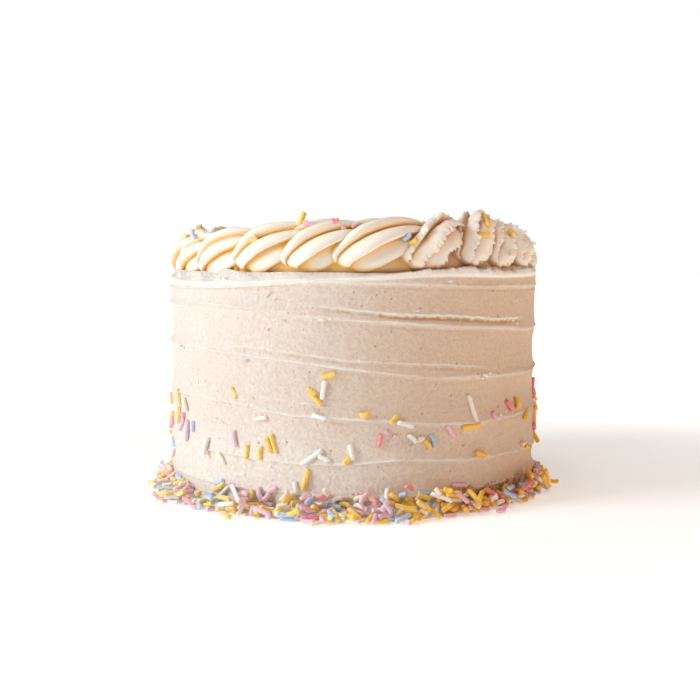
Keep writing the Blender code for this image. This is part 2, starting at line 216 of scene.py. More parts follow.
BORDER_STRANDS = (
    (197, 229, 202, 227, "yellow"), (197, 231, 194, 240, "blue"), (187, 234, 187, 238, "yellow"),
    (252, 240, 256, 236, "yellow"), (234, 266, 240, 269, "yellow"), (266, 224, 270, 222, "coral"),
    (303, 225, 318, 224, "pink"), (332, 221, 338, 221, "coral"), (341, 227.5, 345, 227, "pink"),
    (352, 227, 358, 222, "pink"), (410, 224, 414, 218, "pink"), (404, 240, 408, 230, "blue"),
    (410, 243, 417, 240, "yellow"), (452, 229, 453, 229, "pink"), (465, 223, 470, 220, "coral"),
    (479, 213, 484, 216, "yellow"), (484, 218, 489, 227, "yellow"), (478, 234, 489, 237, "yellow"),
    (486, 218, 488, 218, "blue"), (504, 222, 507, 221, "yellow"), (508, 232, 513, 236, "yellow"),
    (512, 250, 511, 256, "cream"),
)
FOOT_STRANDS = (
    (259, 490, 262, 504, "lilac"), (228, 486, 215, 498, "white"), (225, 485, 214, 490, "yellow"),
    (238, 485, 229, 492, "lilac"), (251, 493, 249, 501, "yellow"), (320, 526, 311, 528, "cream"),
    (149, 489, 155, 488, "yellow"), (154, 498, 156, 502, "pink"), (162, 501, 168, 499, "yellow"),
    (178, 502, 184, 499, "yellow"), (354, 500, 366, 499, "cream"), (369, 503, 360, 509, "pink"),
    (370, 508, 378, 511, "coral"), (380, 511, 393, 518, "blue"), (380, 518, 390, 516, "pink"),
    (395, 517, 416, 518, "yellow"), (418, 511, 430, 519, "yellow"), (431, 507, 452, 514, "white"),
    (448, 502, 462, 504, "yellow"), (455, 511, 470, 512, "pink"), (468, 498, 480, 512, "yellow"),
    (489, 497, 493, 498, "coral"), (504, 505, 516, 504, "blue"), (509, 499, 513, 492, "blue"),
    (517, 493, 521, 500, "yellow"), (491, 507, 497, 504, "white"), (437, 498, 439, 503, "white"),
    (391, 502, 398, 499, "yellow"), (400, 503, 407, 501, "blue"), (406, 497, 412, 501, "coral"),
    (283, 506, 294, 499, "yellow"), (306, 509, 313, 503, "blue"), (297, 509, 303, 513, "blue"),
    (254, 513, 270, 520, "lilac"), (288, 521, 299, 516, "yellow"), (300, 518, 311, 517, "coral"),
    (317, 508, 329, 502, "coral"), (329, 516, 333, 520, "blue"), (238, 516, 245, 509, "pink"),
    (232, 501, 239, 508, "white"), (201, 512, 199, 507, "blue"), (205, 503, 212, 506, "blue"),
    (219, 511, 233, 512, "white"), (229, 508, 217, 502, "yellow"), (324, 497, 328, 502, "cream"),
    (332, 504, 342, 503, "cream"), (301, 503, 310, 500, "pink"), (240, 495, 246, 505, "pink"),
    (263, 505, 270, 498, "pink"), (268, 505, 276, 500, "pink"), (280, 497, 288, 501, "cream"),
    (382, 523, 394, 522, "lilac"), (452, 507, 444, 505, "yellow"), (482, 497, 479, 505, "yellow"),
    (530, 487, 534, 495, "yellow"), (523, 497, 531, 490, "coral"), (538, 484, 545, 489, "white"),
    (541, 491, 551, 492, "yellow"), (527, 480, 532, 485, "yellow"), (545, 476, 549, 480, "yellow"),
)
STANDING_STRANDS = ((300, 224, 304, 213, "yellow"),)
BACK_BORDER_STRANDS = 36
BACK_SIDE_STRANDS = 46
TOP_STRANDS = 70
STRAND_SHARES = (("yellow", 0.32), ("pink", 0.18), ("coral", 0.10), ("white", 0.13), ("cream", 0.10),
                 ("blue", 0.11), ("lilac", 0.06))
STRAND_LENGTHS = (3.4, 7.6)
YELLOW_GIRTH = 1.12
ROOM_UNDER = 1.15
PRESSED_IN = 0.35 * MM
PRESSED_IN_TOP = 0.25 * MM
WELL_ABOVE = 0.2

# Heap round the foot: how far it reaches from the middle, as (azimuth, radius in millimetres)
HEAP_EDGE = ((-88, 87.5), (-71, 89.5), (-57, 94), (-50, 92), (-42, 90), (-29, 92), (-19, 91), (-7, 95),
             (-1, 92), (9, 94), (21, 90.5), (32, 89), (40, 88.5), (53, 87.5), (68, 87), (90, 87), (115, 91),
             (150, 91), (180, 93), (205, 90), (235, 93), (262, 89))
HEAP_CELL = 0.4
HEAP_INNER = 80.0
HEAP_OUTER = 101.0
HEAP_MIDDLE = 87.0
HEAP_TOP, HEAP_RIM = 9.0, 2.6
HEAP_STEEPEST = 0.9
STRAYS, STRAY_REACH = 0.012, 4.0
# Where the heap is lower, and where the smear under it is higher or lower, as (millimetres, from, to, fade)
HEAP_DIPS = ((1.0, 28, 70, 12), (1.2, 74, 116, 12), (1.6, -62, 20, 12), (1.4, -58, -14, 10))
SMEAR_SWELLS = ((1.0, 24, 74, 14), (-1.8, -62, -8, 14))
SMEAR_HEIGHT = 5.0
SMEAR_COLUMNS = 540
SMEAR_INNER = 79.0
SMEAR_PROFILE = ((0.0, 0.0), (0.0, 1.0), (0.2, 0.94), (0.4, 0.72), (0.6, 0.46), (0.8, 0.22), (1.0, 0.02),
                 (1.0, 0.0))
CRUMBLY_SMEAR = (20, 100, 12)


def length_setting(name, description, default):
    return FloatProperty(name=name, description=description, default=default, subtype="DISTANCE",
                         unit="LENGTH")


def share_setting(name, description, default):
    return FloatProperty(name=name, description=description, default=default, min=0, max=1, subtype="FACTOR")


def count_setting(name, description, default):
    return IntProperty(name=name, description=description, default=default, min=1)


def angle_setting(name, description, degrees):
    return FloatProperty(name=name, description=description, default=math.radians(degrees), subtype="ANGLE")


def power_setting(name, description, default):
    return FloatProperty(name=name, description=description, default=default, subtype="POWER")


def colour_setting(name, description, default):
    return FloatVectorProperty(name=name, description=description, default=default, size=3, min=0, max=1,
                               subtype="COLOR")


class IcingSettings(PropertyGroup):
    """Sizes and colours of the iced drum."""

    radius: length_setting("Radius", "Radius over the scraper lines", 0.0810)
    hollow: length_setting("Hollow depth", "How far the bands between the lines lie inward", 0.0015)
    colour: colour_setting("Icing", "Colour of the buttercream", (0.785, 0.60, 0.44))
    # painted light: a paler icing colour painted over the left side, where the key light falls
    painted_light_colour: colour_setting("Pale icing", "Colour where the icing is paler", (0.855, 0.765, 0.705))
    # painted light: near-white icing painted on the ledge and the lower left of the side, lifting their shade
    painted_bright_colour: colour_setting("Bright icing", "Colour of the ledge and the foot", (0.98, 0.93, 0.87))
    # painted highlight: a paler colour painted on the thin lips, the rim and the torn lumps, and as painted
    # light on the smear
    highlight_colour: colour_setting("Lips", "Paler colour of the thin lips", (1.0, 0.95, 0.88))
    # partly painted shade: in the sunk furrows this darker colour is shade; on the crumbs at the foot it is
    # their own brown
    shade_and_crumb_colour: colour_setting("Furrows", "Colour of the torn furrows and crumbs", (0.62, 0.38, 0.19))
    # painted shade: the darker colour inside the air pits and gouges is shade in the recesses
    pit_shade_colour: colour_setting("Pits", "Colour inside air pits", (0.60, 0.37, 0.21))
    pits: share_setting("Pit colour", "How much of their colour the pits take", 0.42)
    grain: share_setting("Grain", "How much the fine grain darkens the icing", 0.27)
    cloud: share_setting("Clouds", "How much the slow clouds darken the icing", 0.12)


class PipingSettings(PropertyGroup):
    """Sizes and colours of the piped shells."""

    lobes: count_setting("Lobes", "Ribs that the nozzle leaves round a shell", 7)
    groove_depth: share_setting("Groove depth", "Depth of the grooves as a share of the radius", 0.40)
    smooth_twist: angle_setting("Twist", "Turn of the ribs along a smooth shell", 84)
    torn_twist: angle_setting("Torn twist", "Turn of the ribs along a torn shell", 112)
    colour: colour_setting("Crests", "Colour of the piping's crests", (0.95, 0.87, 0.77))
    # painted shade: the warm gold painted deep in the grooves, in the pores and where shells shelter each
    # other
    shade_and_crumb_colour: colour_setting("Grooves", "Warmer colour deep in the grooves", (1.0, 0.64, 0.22))
    # painted shade: browner grooves at the right, which is less lit
    right_shade_colour: colour_setting("Tan grooves", "Colour of the grooves at the right", (0.80, 0.54, 0.33))


class StrandSettings(PropertyGroup):
    """Sizes and colours of the sugar strands."""

    thickness: length_setting("Thickness", "Diameter of a strand", 0.0019)
    heap_count: count_setting("Heap", "How many strands are dropped round the foot", 980)
    yellow: colour_setting("Yellow", "Colour of the yellow strands", (1.0, 0.665, 0.095))
    pink: colour_setting("Pink", "Colour of the pink strands", (0.96, 0.60, 0.71))
    coral: colour_setting("Coral", "Colour of the coral strands", (0.90, 0.29, 0.33))
    white: colour_setting("White", "Colour of the white strands", (0.98, 0.96, 0.94))
    cream: colour_setting("Cream", "Colour of the cream strands", (0.99, 0.88, 0.75))
    blue: colour_setting("Blue", "Colour of the blue strands", (0.50, 0.67, 0.90))
    lilac: colour_setting("Lilac", "Colour of the lilac strands", (0.82, 0.53, 0.70))


class StageSettings(PropertyGroup):
    """Camera, lights and floor."""

    lens: FloatProperty(name="Lens", description="Focal length", default=63.2, subtype="DISTANCE_CAMERA")
    key_power: power_setting("Key", "Power of the window-like light at the left", 21.0)
    fill_power: power_setting("Fill", "Power of the warm light at the right", 6.0)
    top_power: power_setting("Top", "Power of the light overhead", 8.5)
    sky: share_setting("Surroundings", "Strength of the light from all round", 0.05)


# Small helpers

def around(azimuth, radius, height):
    """Point at an azimuth in radians that runs from the front towards the right."""
    return Vector((radius * math.sin(azimuth), -radius * math.cos(azimuth), height))


def between(low, high, share):
    return low + (high - low) * share


def bump(x, middle, width):
    return np.exp(-(((x - middle) / width) ** 2))


def ease(x):
    x = np.clip(x, 0.0, 1.0)
    return x * x * (3 - 2 * x)


def round_the_cake(points, degrees):
    """Smooth closed curve through (azimuth, value) points, read at azimuths in degrees."""
    reach, width = 9, 3.5
    table = sorted((azimuth % 360, value) for azimuth, value in points)
    grid = np.arange(0, 360, 1.0)
    values = np.interp(grid, *zip(*table), period=360)
    kernel = bump(np.arange(-reach, reach + 1), 0, width)
    kernel /= kernel.sum()
    smooth = np.convolve(np.concatenate([values[-reach:], values, values[:reach]]), kernel, "valid")
    return np.interp(np.mod(degrees, 360), grid, smooth, period=360)


def window(degrees, low, high, fade):
    """1 between two azimuths, fading to 0 within a few degrees inside them."""
    middle, half = (low + high) / 2, (high - low) / 2
    away = np.abs(np.mod(degrees - middle + 180, 360) - 180)
    return ease((half - away) / fade)


def swells(degrees, table):
    """Sum of windows round the cake, each with its height in millimetres."""
    return sum(high * window(degrees, *where) for high, *where in table)


def noise_at(points, scale, seed):
    """Perlin noise of an array of points in millimetres."""
    shift = Vector((seed * 17.3, seed * 5.1, seed * 9.7))
    return np.array([noise.noise(Vector(p) / scale + shift) for p in points])


def noise_round(turns, level, scale, seed):
    """Perlin noise round the side at one level, at azimuths in radians."""
    spots = [(NOISE_RADIUS * math.cos(a), NOISE_RADIUS * math.sin(a), level) for a in turns]
    return noise_at(spots, scale, seed)


def ring_points(turns, radii, heights):
    """Points of a ring at azimuths in radians."""
    return list(zip(radii * np.sin(turns), -radii * np.cos(turns), heights))


def close_up(mesh):
    """Merges doubled points and turns every face outward."""
    shape = bmesh.new()
    shape.from_mesh(mesh)
    bmesh.ops.remove_doubles(shape, verts=shape.verts, dist=0.0001 * MM)
    bmesh.ops.recalc_face_normals(shape, faces=shape.faces)
    shape.to_mesh(mesh)
    shape.free()


def mesh_object(name, points, faces, smooth=True, attributes=None, closed=True):
    """A mesh object at the origin from points in millimetres. Attributes are one number a point."""
    mesh = bpy.data.meshes.new(name)
    mesh.from_pydata((np.asarray(points) * MM).tolist(), [], faces)
    mesh.polygons.foreach_set("use_smooth", [smooth] * len(mesh.polygons))
    for key, values in (attributes or {}).items():
        layer = mesh.attributes.new(key, "FLOAT", "POINT")
        layer.data.foreach_set("value", np.asarray(values, np.float32))
    if closed:
        close_up(mesh)
    mesh.update()
    made = bpy.data.objects.new(name, mesh)
    bpy.context.scene.collection.objects.link(made)
    return made


def ring_faces(first, second, count):
    """Quads between two rings whose points follow each other, the first ring above or inside the second."""
    return [(first + n, second + n, second + (n + 1) % count, first + (n + 1) % count) for n in range(count)]


def halving_faces(first, second, count):
    """Triangles from a ring of points to one outside it with twice as many."""
    faces = []
    for n in range(count):
        a, b = first + n, first + (n + 1) % count
        c, d, e = (second + (2 * n + k) % (2 * count) for k in range(3))
        faces += [(a, c, d), (a, d, b), (b, d, e)]
    return faces


def dress(piece, material, node):
    """Gives a finished piece its material, hangs it on the root body and hides the CAD part that it stands
    for.
    """
    piece.data.materials.clear()
    piece.data.materials.append(material)
    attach(piece, "root")
    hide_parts(node)
    return piece


# Materials

# Where painted light and shade change across the cake: an axis, the millimetres where it starts and is full,
# and its share
PAINTED_LIGHT_SIDE = ("X", 70, -60)
PAINTED_LIGHT_FOOT = ("Z", 50, 10, 0.75)
PAINTED_LIGHT_FOOT_SIDE = ("X", 70, 0)
PAINTED_LIGHT_LEDGE = ("Z", 89.5, 91.5)
RIGHT_SHADE_SIDE = ("X", -5, 45)
PAINTED_LIGHT_SUGAR_SIDE = ("X", -10, -80, 0.20)
PAINTED_SHADE_SUGAR_SIDE = ("X", -10, 60, 0.85)

CLOUD_SHADE = (0.78, 0.78, 0.78)
GRAIN_SHADE = (0.80, 0.72, 0.66)
PAINTED_SHADE_SUGAR = (1.0, 0.87, 0.78)
PAINTED_LIGHT_SUGAR = (1.0, 0.97, 0.93)
PATCHY_SUGAR = 0.14

BUTTERCREAM = {"Specular IOR Level": 0.35, "Subsurface Radius": (1.0, 0.55, 0.28)}
ICING = {**BUTTERCREAM, "Roughness": 0.55, "Subsurface Weight": 0.12, "Subsurface Scale": 0.6 * MM}
PIPING = {**BUTTERCREAM, "Roughness": 0.48, "Subsurface Weight": 0.34, "Subsurface Scale": 1.8 * MM}
SUGAR = {"Roughness": 0.38, "Specular IOR Level": 0.45, "Subsurface Weight": 0.15,
         "Subsurface Radius": (1.0, 0.6, 0.4), "Subsurface Scale": 0.4 * MM}

# A pore or pit is at its deepest within this share of its radius
PORE_FLOOR = 0.45
PIT_FLOOR = 0.55
PIT_RADIUS = 80.4
PIT_DEPTH = 4
TINY_PORES = 0.7
PORE_SHADE_IN_PIPING = 0.35


def feed(tree, node, inputs):
    """Sets inputs of a node to constants, or joins them to another node's output."""
    for key, value in inputs.items():
        if isinstance(value, bpy.types.NodeSocket):
            tree.links.new(value, node.inputs[key])
        else:
            node.inputs[key].default_value = value


def add_node(tree, kind, inputs=None, **values):
    node = tree.nodes.new(kind)
    for key, value in values.items():
        setattr(node, key, value)
    feed(tree, node, inputs or {})
    return node


def shade(colour, factors):
    return [channel * factor for channel, factor in zip(colour, factors)]


class Nodes:
    """A material's tree, with short calls to add and join nodes."""

    def __init__(self, name):
        self.material = bpy.data.materials.new(name)
        self.material.use_nodes = True
        self.tree = self.material.node_tree
        self.place = self.add("ShaderNodeTexCoord").outputs["Object"]
        self.axes = None

    def add(self, kind, inputs=None, **values):
        return add_node(self.tree, kind, inputs, **values)

    def surface(self, inputs):
        """Sets and joins the shader's inputs, and returns the finished material."""
        feed(self.tree, self.tree.nodes["Principled BSDF"], inputs)
        return self.material

    def attribute(self, name):
        return self.add("ShaderNodeAttribute", attribute_name=name).outputs["Fac"]

    def noise(self, size_mm, detail=2.0, rough=0.5):
        inputs = {"Scale": PER_METRE / size_mm, "Detail": detail, "Roughness": rough, "Vector": self.place}
        return self.add("ShaderNodeTexNoise", inputs).outputs["Fac"]

    def span(self, value, from_min, from_max, to_min=0.0, to_max=1.0, smooth=True):
        inputs = {"Value": value, "From Min": from_min, "From Max": from_max,
                  "To Min": to_min, "To Max": to_max}
        kind = "SMOOTHSTEP" if smooth else "LINEAR"
        return self.add("ShaderNodeMapRange", inputs, interpolation_type=kind).outputs["Result"]

    def along(self, axis, start_mm, full_mm, most=1.0):
        """Share that grows from 0 at one place along an axis to its most at another."""
        if self.axes is None:
            self.axes = self.add("ShaderNodeSeparateXYZ", {0: self.place})
        return self.span(self.axes.outputs[axis], start_mm * MM, full_mm * MM, 0.0, most)

    def maths(self, operation, first, second):
        return self.add("ShaderNodeMath", {0: first, 1: second}, operation=operation).outputs[0]

    def times(self, first, second):
        return self.maths("MULTIPLY", first, second)

    def larger(self, first, second):
        return self.maths("MAXIMUM", first, second)

    def flipped(self, value):
        return self.maths("SUBTRACT", 1.0, value)

    def length(self, vector):
        return self.add("ShaderNodeVectorMath", {0: vector}, operation="LENGTH").outputs["Value"]

    def mix(self, share, first, second):
        """Mixes two colours, each an output or red, green and blue."""
        inputs = {0: share}
        for socket, colour in ((6, first), (7, second)):
            is_output = isinstance(colour, bpy.types.NodeSocket)
            inputs[socket] = colour if is_output else (*colour[:3], 1.0)
        return self.add("ShaderNodeMix", inputs, data_type="RGBA").outputs[2]

    def bump(self, height, distance_mm, strength, after=None):
        inputs = {"Height": height, "Distance": distance_mm * MM, "Strength": strength}
        if after is not None:
            inputs["Normal"] = after
        return self.add("ShaderNodeBump", inputs).outputs["Normal"]

    def pores(self, cell_mm, share, smallest_mm, largest_mm):
        """1 inside round pores scattered in cells, of which only a share has one."""
        inputs = {"Scale": PER_METRE / cell_mm, "Vector": self.place}
        voronoi = self.add("ShaderNodeTexVoronoi", inputs, feature="F1")
        split = self.add("ShaderNodeSeparateColor", {"Color": voronoi.outputs["Color"]})
        has_one = self.maths("LESS_THAN", split.outputs["Red"], share)
        smallest, largest = smallest_mm / cell_mm, largest_mm / cell_mm
        size = self.span(split.outputs["Green"], 0, 1, smallest, largest, smooth=False)
        ratio = self.maths("DIVIDE", voronoi.outputs["Distance"], size)
        return self.times(self.span(ratio, 1.0, PORE_FLOOR), has_one)

    def pit(self, azimuth, height, lean, long_mm, wide_mm):
        """1 inside one oval pit or gouge of the side."""
        inputs = {
            "Vector": self.place,
            "Location": around(math.radians(azimuth), PIT_RADIUS * MM, height * MM),
            "Rotation": (0, math.radians(lean), math.radians(azimuth)),
            "Scale": (long_mm * MM / 2, PIT_DEPTH * MM, wide_mm * MM / 2),
        }
        oval = self.add("ShaderNodeMapping", inputs, vector_type="TEXTURE")
        return self.span(self.length(oval.outputs["Vector"]), 1.0, PIT_FLOOR)


PITS = (  # azimuth, height in mm, lean in degrees, length and width in mm
    (-24.0, 86.2, -38, 4.6, 1.0), (-22.0, 84.6, -30, 1.8, 0.9), (-24.0, 72.7, 0, 1.5, 1.5),
    (-31.0, 60.2, 0, 3.2, 1.4), (-19.0, 76.4, 0, 1.1, 0.9), (-29.0, 45.4, 20, 1.6, 0.9),
    (-41.0, 34.6, 10, 2.2, 1.0), (-47.0, 21.6, 0, 1.3, 1.0), (37.0, 21.6, -10, 3.4, 1.3),
    (33.0, 26.4, 0, 2.0, 1.2), (16.5, 28.2, 0, 1.6, 1.0), (47.5, 40.2, 0, 1.8, 1.6),
    (-13.0, 28.6, 0, 1.2, 0.9), (6.0, 66.8, 0, 1.2, 0.8), (19.0, 81.2, 15, 1.8, 0.8),
    (58.0, 57.0, 0, 1.2, 0.9), (112.0, 70.0, 20, 2.6, 1.1), (150.0, 33.0, 0, 1.8, 1.2),
    (198.0, 66.0, -25, 3.4, 1.0), (236.0, 48.0, 0, 1.6, 1.2), (262.0, 76.0, 10, 2.0, 1.0),
    (128.0, 52.0, 0, 1.3, 1.0), (176.0, 83.0, 0, 1.5, 1.1), (281.0, 30.0, 0, 1.4, 1.1),
)


def icing_material(icing):
    nodes = Nodes("buttercream")
    # painted light: the icing is painted paler towards the lit left side
    at_left = nodes.along(*PAINTED_LIGHT_SIDE)
    colour = nodes.mix(at_left, icing.colour, icing.painted_light_colour)
    # painted light: the lower left of the side and the ledge at the left are painted near white
    at_foot = nodes.times(nodes.along(*PAINTED_LIGHT_FOOT), nodes.along(*PAINTED_LIGHT_FOOT_SIDE))
    on_ledge = nodes.times(nodes.along(*PAINTED_LIGHT_LEDGE), at_left)
    colour = nodes.mix(nodes.larger(at_foot, on_ledge), colour, icing.painted_bright_colour)
    cloud = nodes.span(nodes.noise(38.0, 3.0), 0.3, 0.7, 0.0, icing.cloud)
    colour = nodes.mix(cloud, colour, shade(icing.colour, CLOUD_SHADE))
    grain = nodes.noise(1.5, 4.0, 0.60)
    grainy = nodes.span(grain, 0.36, 0.62, 0.0, icing.grain)
    colour = nodes.mix(grainy, colour, shade(icing.colour, GRAIN_SHADE))
    # below 0 the attribute marks painted highlights on the lips, above 0 painted gold shade in the furrows
    # and the own brown of the crumbs
    groove = nodes.attribute("groove")
    # painted highlight on the lips, weaker towards the left
    lip_highlights = nodes.times(nodes.span(groove, -0.02, -0.24), nodes.span(at_left, 0.3, 1.0, 1.0, 0.45))
    colour = nodes.mix(lip_highlights, colour, icing.highlight_colour)
    # painted shade in the furrows; on the crumbs their own brown
    colour = nodes.mix(nodes.span(groove, 0.12, 0.70), colour, icing.shade_and_crumb_colour)
    small = nodes.pores(2.9, 0.34, 0.22, 0.62)
    tiny = nodes.pores(1.2, 0.50, 0.12, 0.30)
    pits = nodes.larger(small, nodes.times(tiny, TINY_PORES))
    for pit in PITS:
        pits = nodes.larger(pits, nodes.pit(*pit))
    pits = nodes.times(pits, nodes.span(on_ledge, 0.0, 1.0, 1.0, 0.2))
    # painted shade inside the pores and pits
    colour = nodes.mix(nodes.times(pits, icing.pits), colour, icing.pit_shade_colour)
    normal = nodes.bump(nodes.flipped(grain), 0.75, 0.80)
    normal = nodes.bump(nodes.noise(5.0, 2.0), 0.90, 0.50, normal)
    normal = nodes.bump(nodes.flipped(pits), 0.5, 0.9, normal)
    return nodes.surface({**ICING, "Base Color": colour, "Normal": normal})


def piping_material(piping):
    nodes = Nodes("piped_buttercream")
    # painted shade: gold in the grooves, turning browner at the darker right
    deep = nodes.mix(nodes.along(*RIGHT_SHADE_SIDE), piping.shade_and_crumb_colour, piping.right_shade_colour)
    colour = nodes.mix(nodes.attribute("groove"), piping.colour, deep)
    tiny = nodes.pores(1.8, 0.25, 0.12, 0.30)
    # painted shade: the tiny pores take the gold shade colour
    colour = nodes.mix(nodes.times(tiny, PORE_SHADE_IN_PIPING), colour, piping.shade_and_crumb_colour)
    normal = nodes.bump(nodes.noise(0.8, 3.0, 0.6), 0.07, 0.5)
    normal = nodes.bump(nodes.noise(4.0, 2.0), 0.30, 0.3, normal)
    normal = nodes.bump(nodes.flipped(tiny), 0.25, 0.6, normal)
    return nodes.surface({**PIPING, "Base Color": colour, "Normal": normal})


def sugar_material(name, colour):
    nodes = Nodes(name)
    pale = [between(channel, 1.0, PATCHY_SUGAR) for channel in colour]
    base = nodes.mix(nodes.span(nodes.noise(1.6, 2.0), 0.3, 0.7), colour, pale)
    # painted light: sugar paler towards the lit left, and painted shade: warmer towards the right, as the
    # icing under it is painted
    base = nodes.mix(nodes.along(*PAINTED_LIGHT_SUGAR_SIDE), base, PAINTED_LIGHT_SUGAR)
    base = nodes.mix(nodes.along(*PAINTED_SHADE_SUGAR_SIDE), base, shade(colour, PAINTED_SHADE_SUGAR))
    normal = nodes.bump(nodes.noise(0.5, 3.0, 0.6), 0.05, 0.5)
    normal = nodes.bump(nodes.noise(1.8, 1.0), 0.25, 0.3, normal)
    return nodes.surface({**SUGAR, "Base Color": base, "Normal": normal})


# Iced drum

CRUMB_ROWS = 8
CRUMB_COLUMNS = 12


def column_angles():
    """Azimuths in degrees of the drum's columns, closer together at the front."""
    front = np.linspace(-FRONT_HALF, FRONT_HALF, FRONT_COLUMNS, endpoint=False)
    back = np.linspace(FRONT_HALF, 360 - FRONT_HALF, BACK_COLUMNS, endpoint=False)
    return np.concatenate([front, back])


def row_shares(tall):
    """Where the rows of a band lie as shares of its height, closer together at the lines."""
    below = [d for d in ROWS_UNDER_LINE if d < ROWS_UNDER_SHARE * tall]
    above = [d for d in ROWS_OVER_LINE if d < ROWS_OVER_SHARE * tall]
    first, last = below[-1] / tall, 1 - above[0] / tall
    steps = max(2, int((last - first) * tall / ROW_SPACING))
    middle = list(np.linspace(first, last, steps + 1))[1:-1]
    return [d / tall for d in below] + middle + [1 - d / tall for d in above]


def furrow_at(degrees, over, places, offsets, deep, ragged_lip, torn_lip):
    """A second line above a scraper line: how far it stands out, the painted highlight on its lip, and how
    far its furrow is sunk.
    """
    start, full, fading, end = places
    turned = start + np.mod(degrees - start, 360)
    strength = ease((turned - start) / (full - start)) * ease((end - turned) / (end - fading))
    strength = strength * (0.75 + 0.5 * ragged_lip)
    offset = np.interp(turned, *zip(*offsets)) + 0.35 * torn_lip
    ridge = strength * deep * 0.9 * bump(over, offset, 0.42)
    lip_highlight = strength * min(1.0, 1.4 * deep) * bump(over, offset + 0.15, 0.55)
    sunk = strength * bump(over, offset - 1.05, 0.72) * (0.9 + 0.5 * torn_lip)
    return ridge, lip_highlight, sunk


def side_rows(icing, degrees):
    """Heights, radii and painted highlight and shade of each row of the side, from the top edge to the foot.
    """
    radius = icing.radius / MM
    hollow = icing.hollow / MM
    turns = np.radians(degrees)
    edges = [round_the_cake(line, degrees) for line in (TOP_EDGE, *SCRAPER_LINES)]
    edges.append(np.zeros_like(degrees))
    last_band = len(edges) - 2
    rows = []
    for band, (upper, lower) in enumerate(zip(edges, edges[1:])):
        depth = hollow * (0.72 + 0.28 * np.sin(turns * 2 + band * 2.1))
        depth = depth * {0: TOP_HOLLOW, last_band: FOOT_HOLLOW}.get(band, 1.0)
        ragged_lip = 0.5 + 0.5 * noise_round(turns, 7.0 * band, 4.5, 3)
        torn_lip = noise_round(turns, 9.0 * band, 1.5, 4)
        slow = 0.62 + 0.55 * noise_round(turns, 13.0 * band, 24.0, 8)
        for share in row_shares(float(np.mean(upper - lower))):
            height = between(upper, lower, share)
            under, over = upper - height, height - lower
            out = radius - depth * (4 * share * (1 - share)) ** HOLLOW_POWER
            groove, lip_highlight = np.zeros_like(degrees), np.zeros_like(degrees)
            if band < last_band:
                strength = LIP_STRENGTHS[band]
                out = out + strength * (0.26 + 0.44 * ragged_lip) * bump(over, 0.0, 0.48)
                # painted highlight along the lip, where light catches it
                lip_highlight = strength * slow * (0.5 + 0.6 * ragged_lip) * bump(over, 0.25, 0.6 + 0.35 * ragged_lip)
            if band == 0:
                # painted highlight along the top edge
                lip_highlight = np.maximum(lip_highlight, 0.8 * bump(under, 0.0, 1.1))
            else:
                out = out - 0.30 * bump(under, 0.8, 0.6)
            for line, places, offsets, deep in FURROWS:
                if line != band:
                    continue
                ridge, edge, sunk = furrow_at(degrees, over, places, offsets, deep, ragged_lip, torn_lip)
                out = out + ridge
                lip_highlight = np.maximum(lip_highlight, edge)
                out = out - 1.1 * deep * sunk
                # painted shade in the sunk furrow
                groove = np.maximum(groove, 1.25 * deep * sunk)
            rows.append((height, out, groove - 0.5 * lip_highlight))
    rows.append((edges[-1], np.full_like(degrees, radius - 0.5), np.zeros_like(degrees)))
    return rows


def top_rings(turns, bead):
    """Rings of the top from the rim inward: azimuths, radii, heights and painted light, which is zero on the
    top.
    """
    rings = []
    for count, radii in TOP_RINGS:
        step = len(turns) // count
        for radius in radii:
            near_rim = ease((radius - 72.0) / 6.0)
            height = TOP_LEVEL + near_rim * np.clip(bead[::step], -0.3, 3)
            swirl = 0.22 * np.sin(radius / 2.7 + turns[::step]) * (1 - near_rim)
            rings.append((turns[::step], np.full(count, radius), height + swirl, np.zeros(count)))
    return rings


def drum_mesh(icing):
    degrees = column_angles()
    turns = np.radians(degrees)
    count = len(degrees)
    rows = side_rows(icing, degrees)
    edge_height, edge_radius, _ = rows[0]
    wave = noise_round(turns, 0, 7.0, 5)
    crumble = noise_round(turns, 0, 1.7, 6)
    torn = window(degrees, *TORN_RIM)
    bead = torn * (1.7 + 1.0 * wave + 0.9 * crumble) + window(degrees, *LUMP_ON_RIM) * (1.1 + 1.0 * crumble)
    bead = bead + 0.3 * wave + 0.18 * crumble
    # rounded rim from the top edge in to the first flat ring, with a painted highlight all round
    rim = []
    for inward, up in RIM_STEPS:
        out = edge_radius - inward + (0.5 * torn * crumble + 0.15 * wave) * up
        height = edge_height + (RIM_RISE + np.clip(bead, 0, 3) * RIM_RISE) * up
        rim.append((height, out, np.full(count, -0.3)))
    rings = list(reversed(top_rings(turns, bead)))
    rings += [(turns, radii, heights, deep) for heights, radii, deep in rim + rows]
    points, groove, starts = [(0.0, 0.0, TOP_LEVEL)], [0.0], []
    for angles, radii, heights, deep in rings:
        starts.append((len(points), len(angles)))
        points += ring_points(angles, radii, heights)
        groove += list(deep)
    first, ring_count = starts[0]
    faces = [(0, first + n, first + (n + 1) % ring_count) for n in range(ring_count)]
    for (first, few), (second, many) in zip(starts, starts[1:]):
        faces += ring_faces(first, second, many) if few == many else halving_faces(first, second, few)
    last = starts[-1][0]
    faces += [(last + (n + 1) % count, last + n, len(points)) for n in range(count)]
    points.append((0.0, 0.0, 0.0))
    groove.append(0.0)
    points = np.array(points)
    away = np.hypot(points[:, 0], points[:, 1])
    out = points[:, :2] / np.maximum(away, 1e-6)[:, None]
    uneven = sum(depth * noise_at(points, scale, seed) for depth, scale, seed in UNEVENNESS)
    side = away > SIDE_STARTS
    points[:, :2] += out * (uneven * side)[:, None]
    points[~side, 2] += 0.8 * uneven[~side]
    points[points[:, 2] < 0.01, 2] = 0.0
    return mesh_object("iced_cake_skin", points, faces, attributes={"groove": groove})


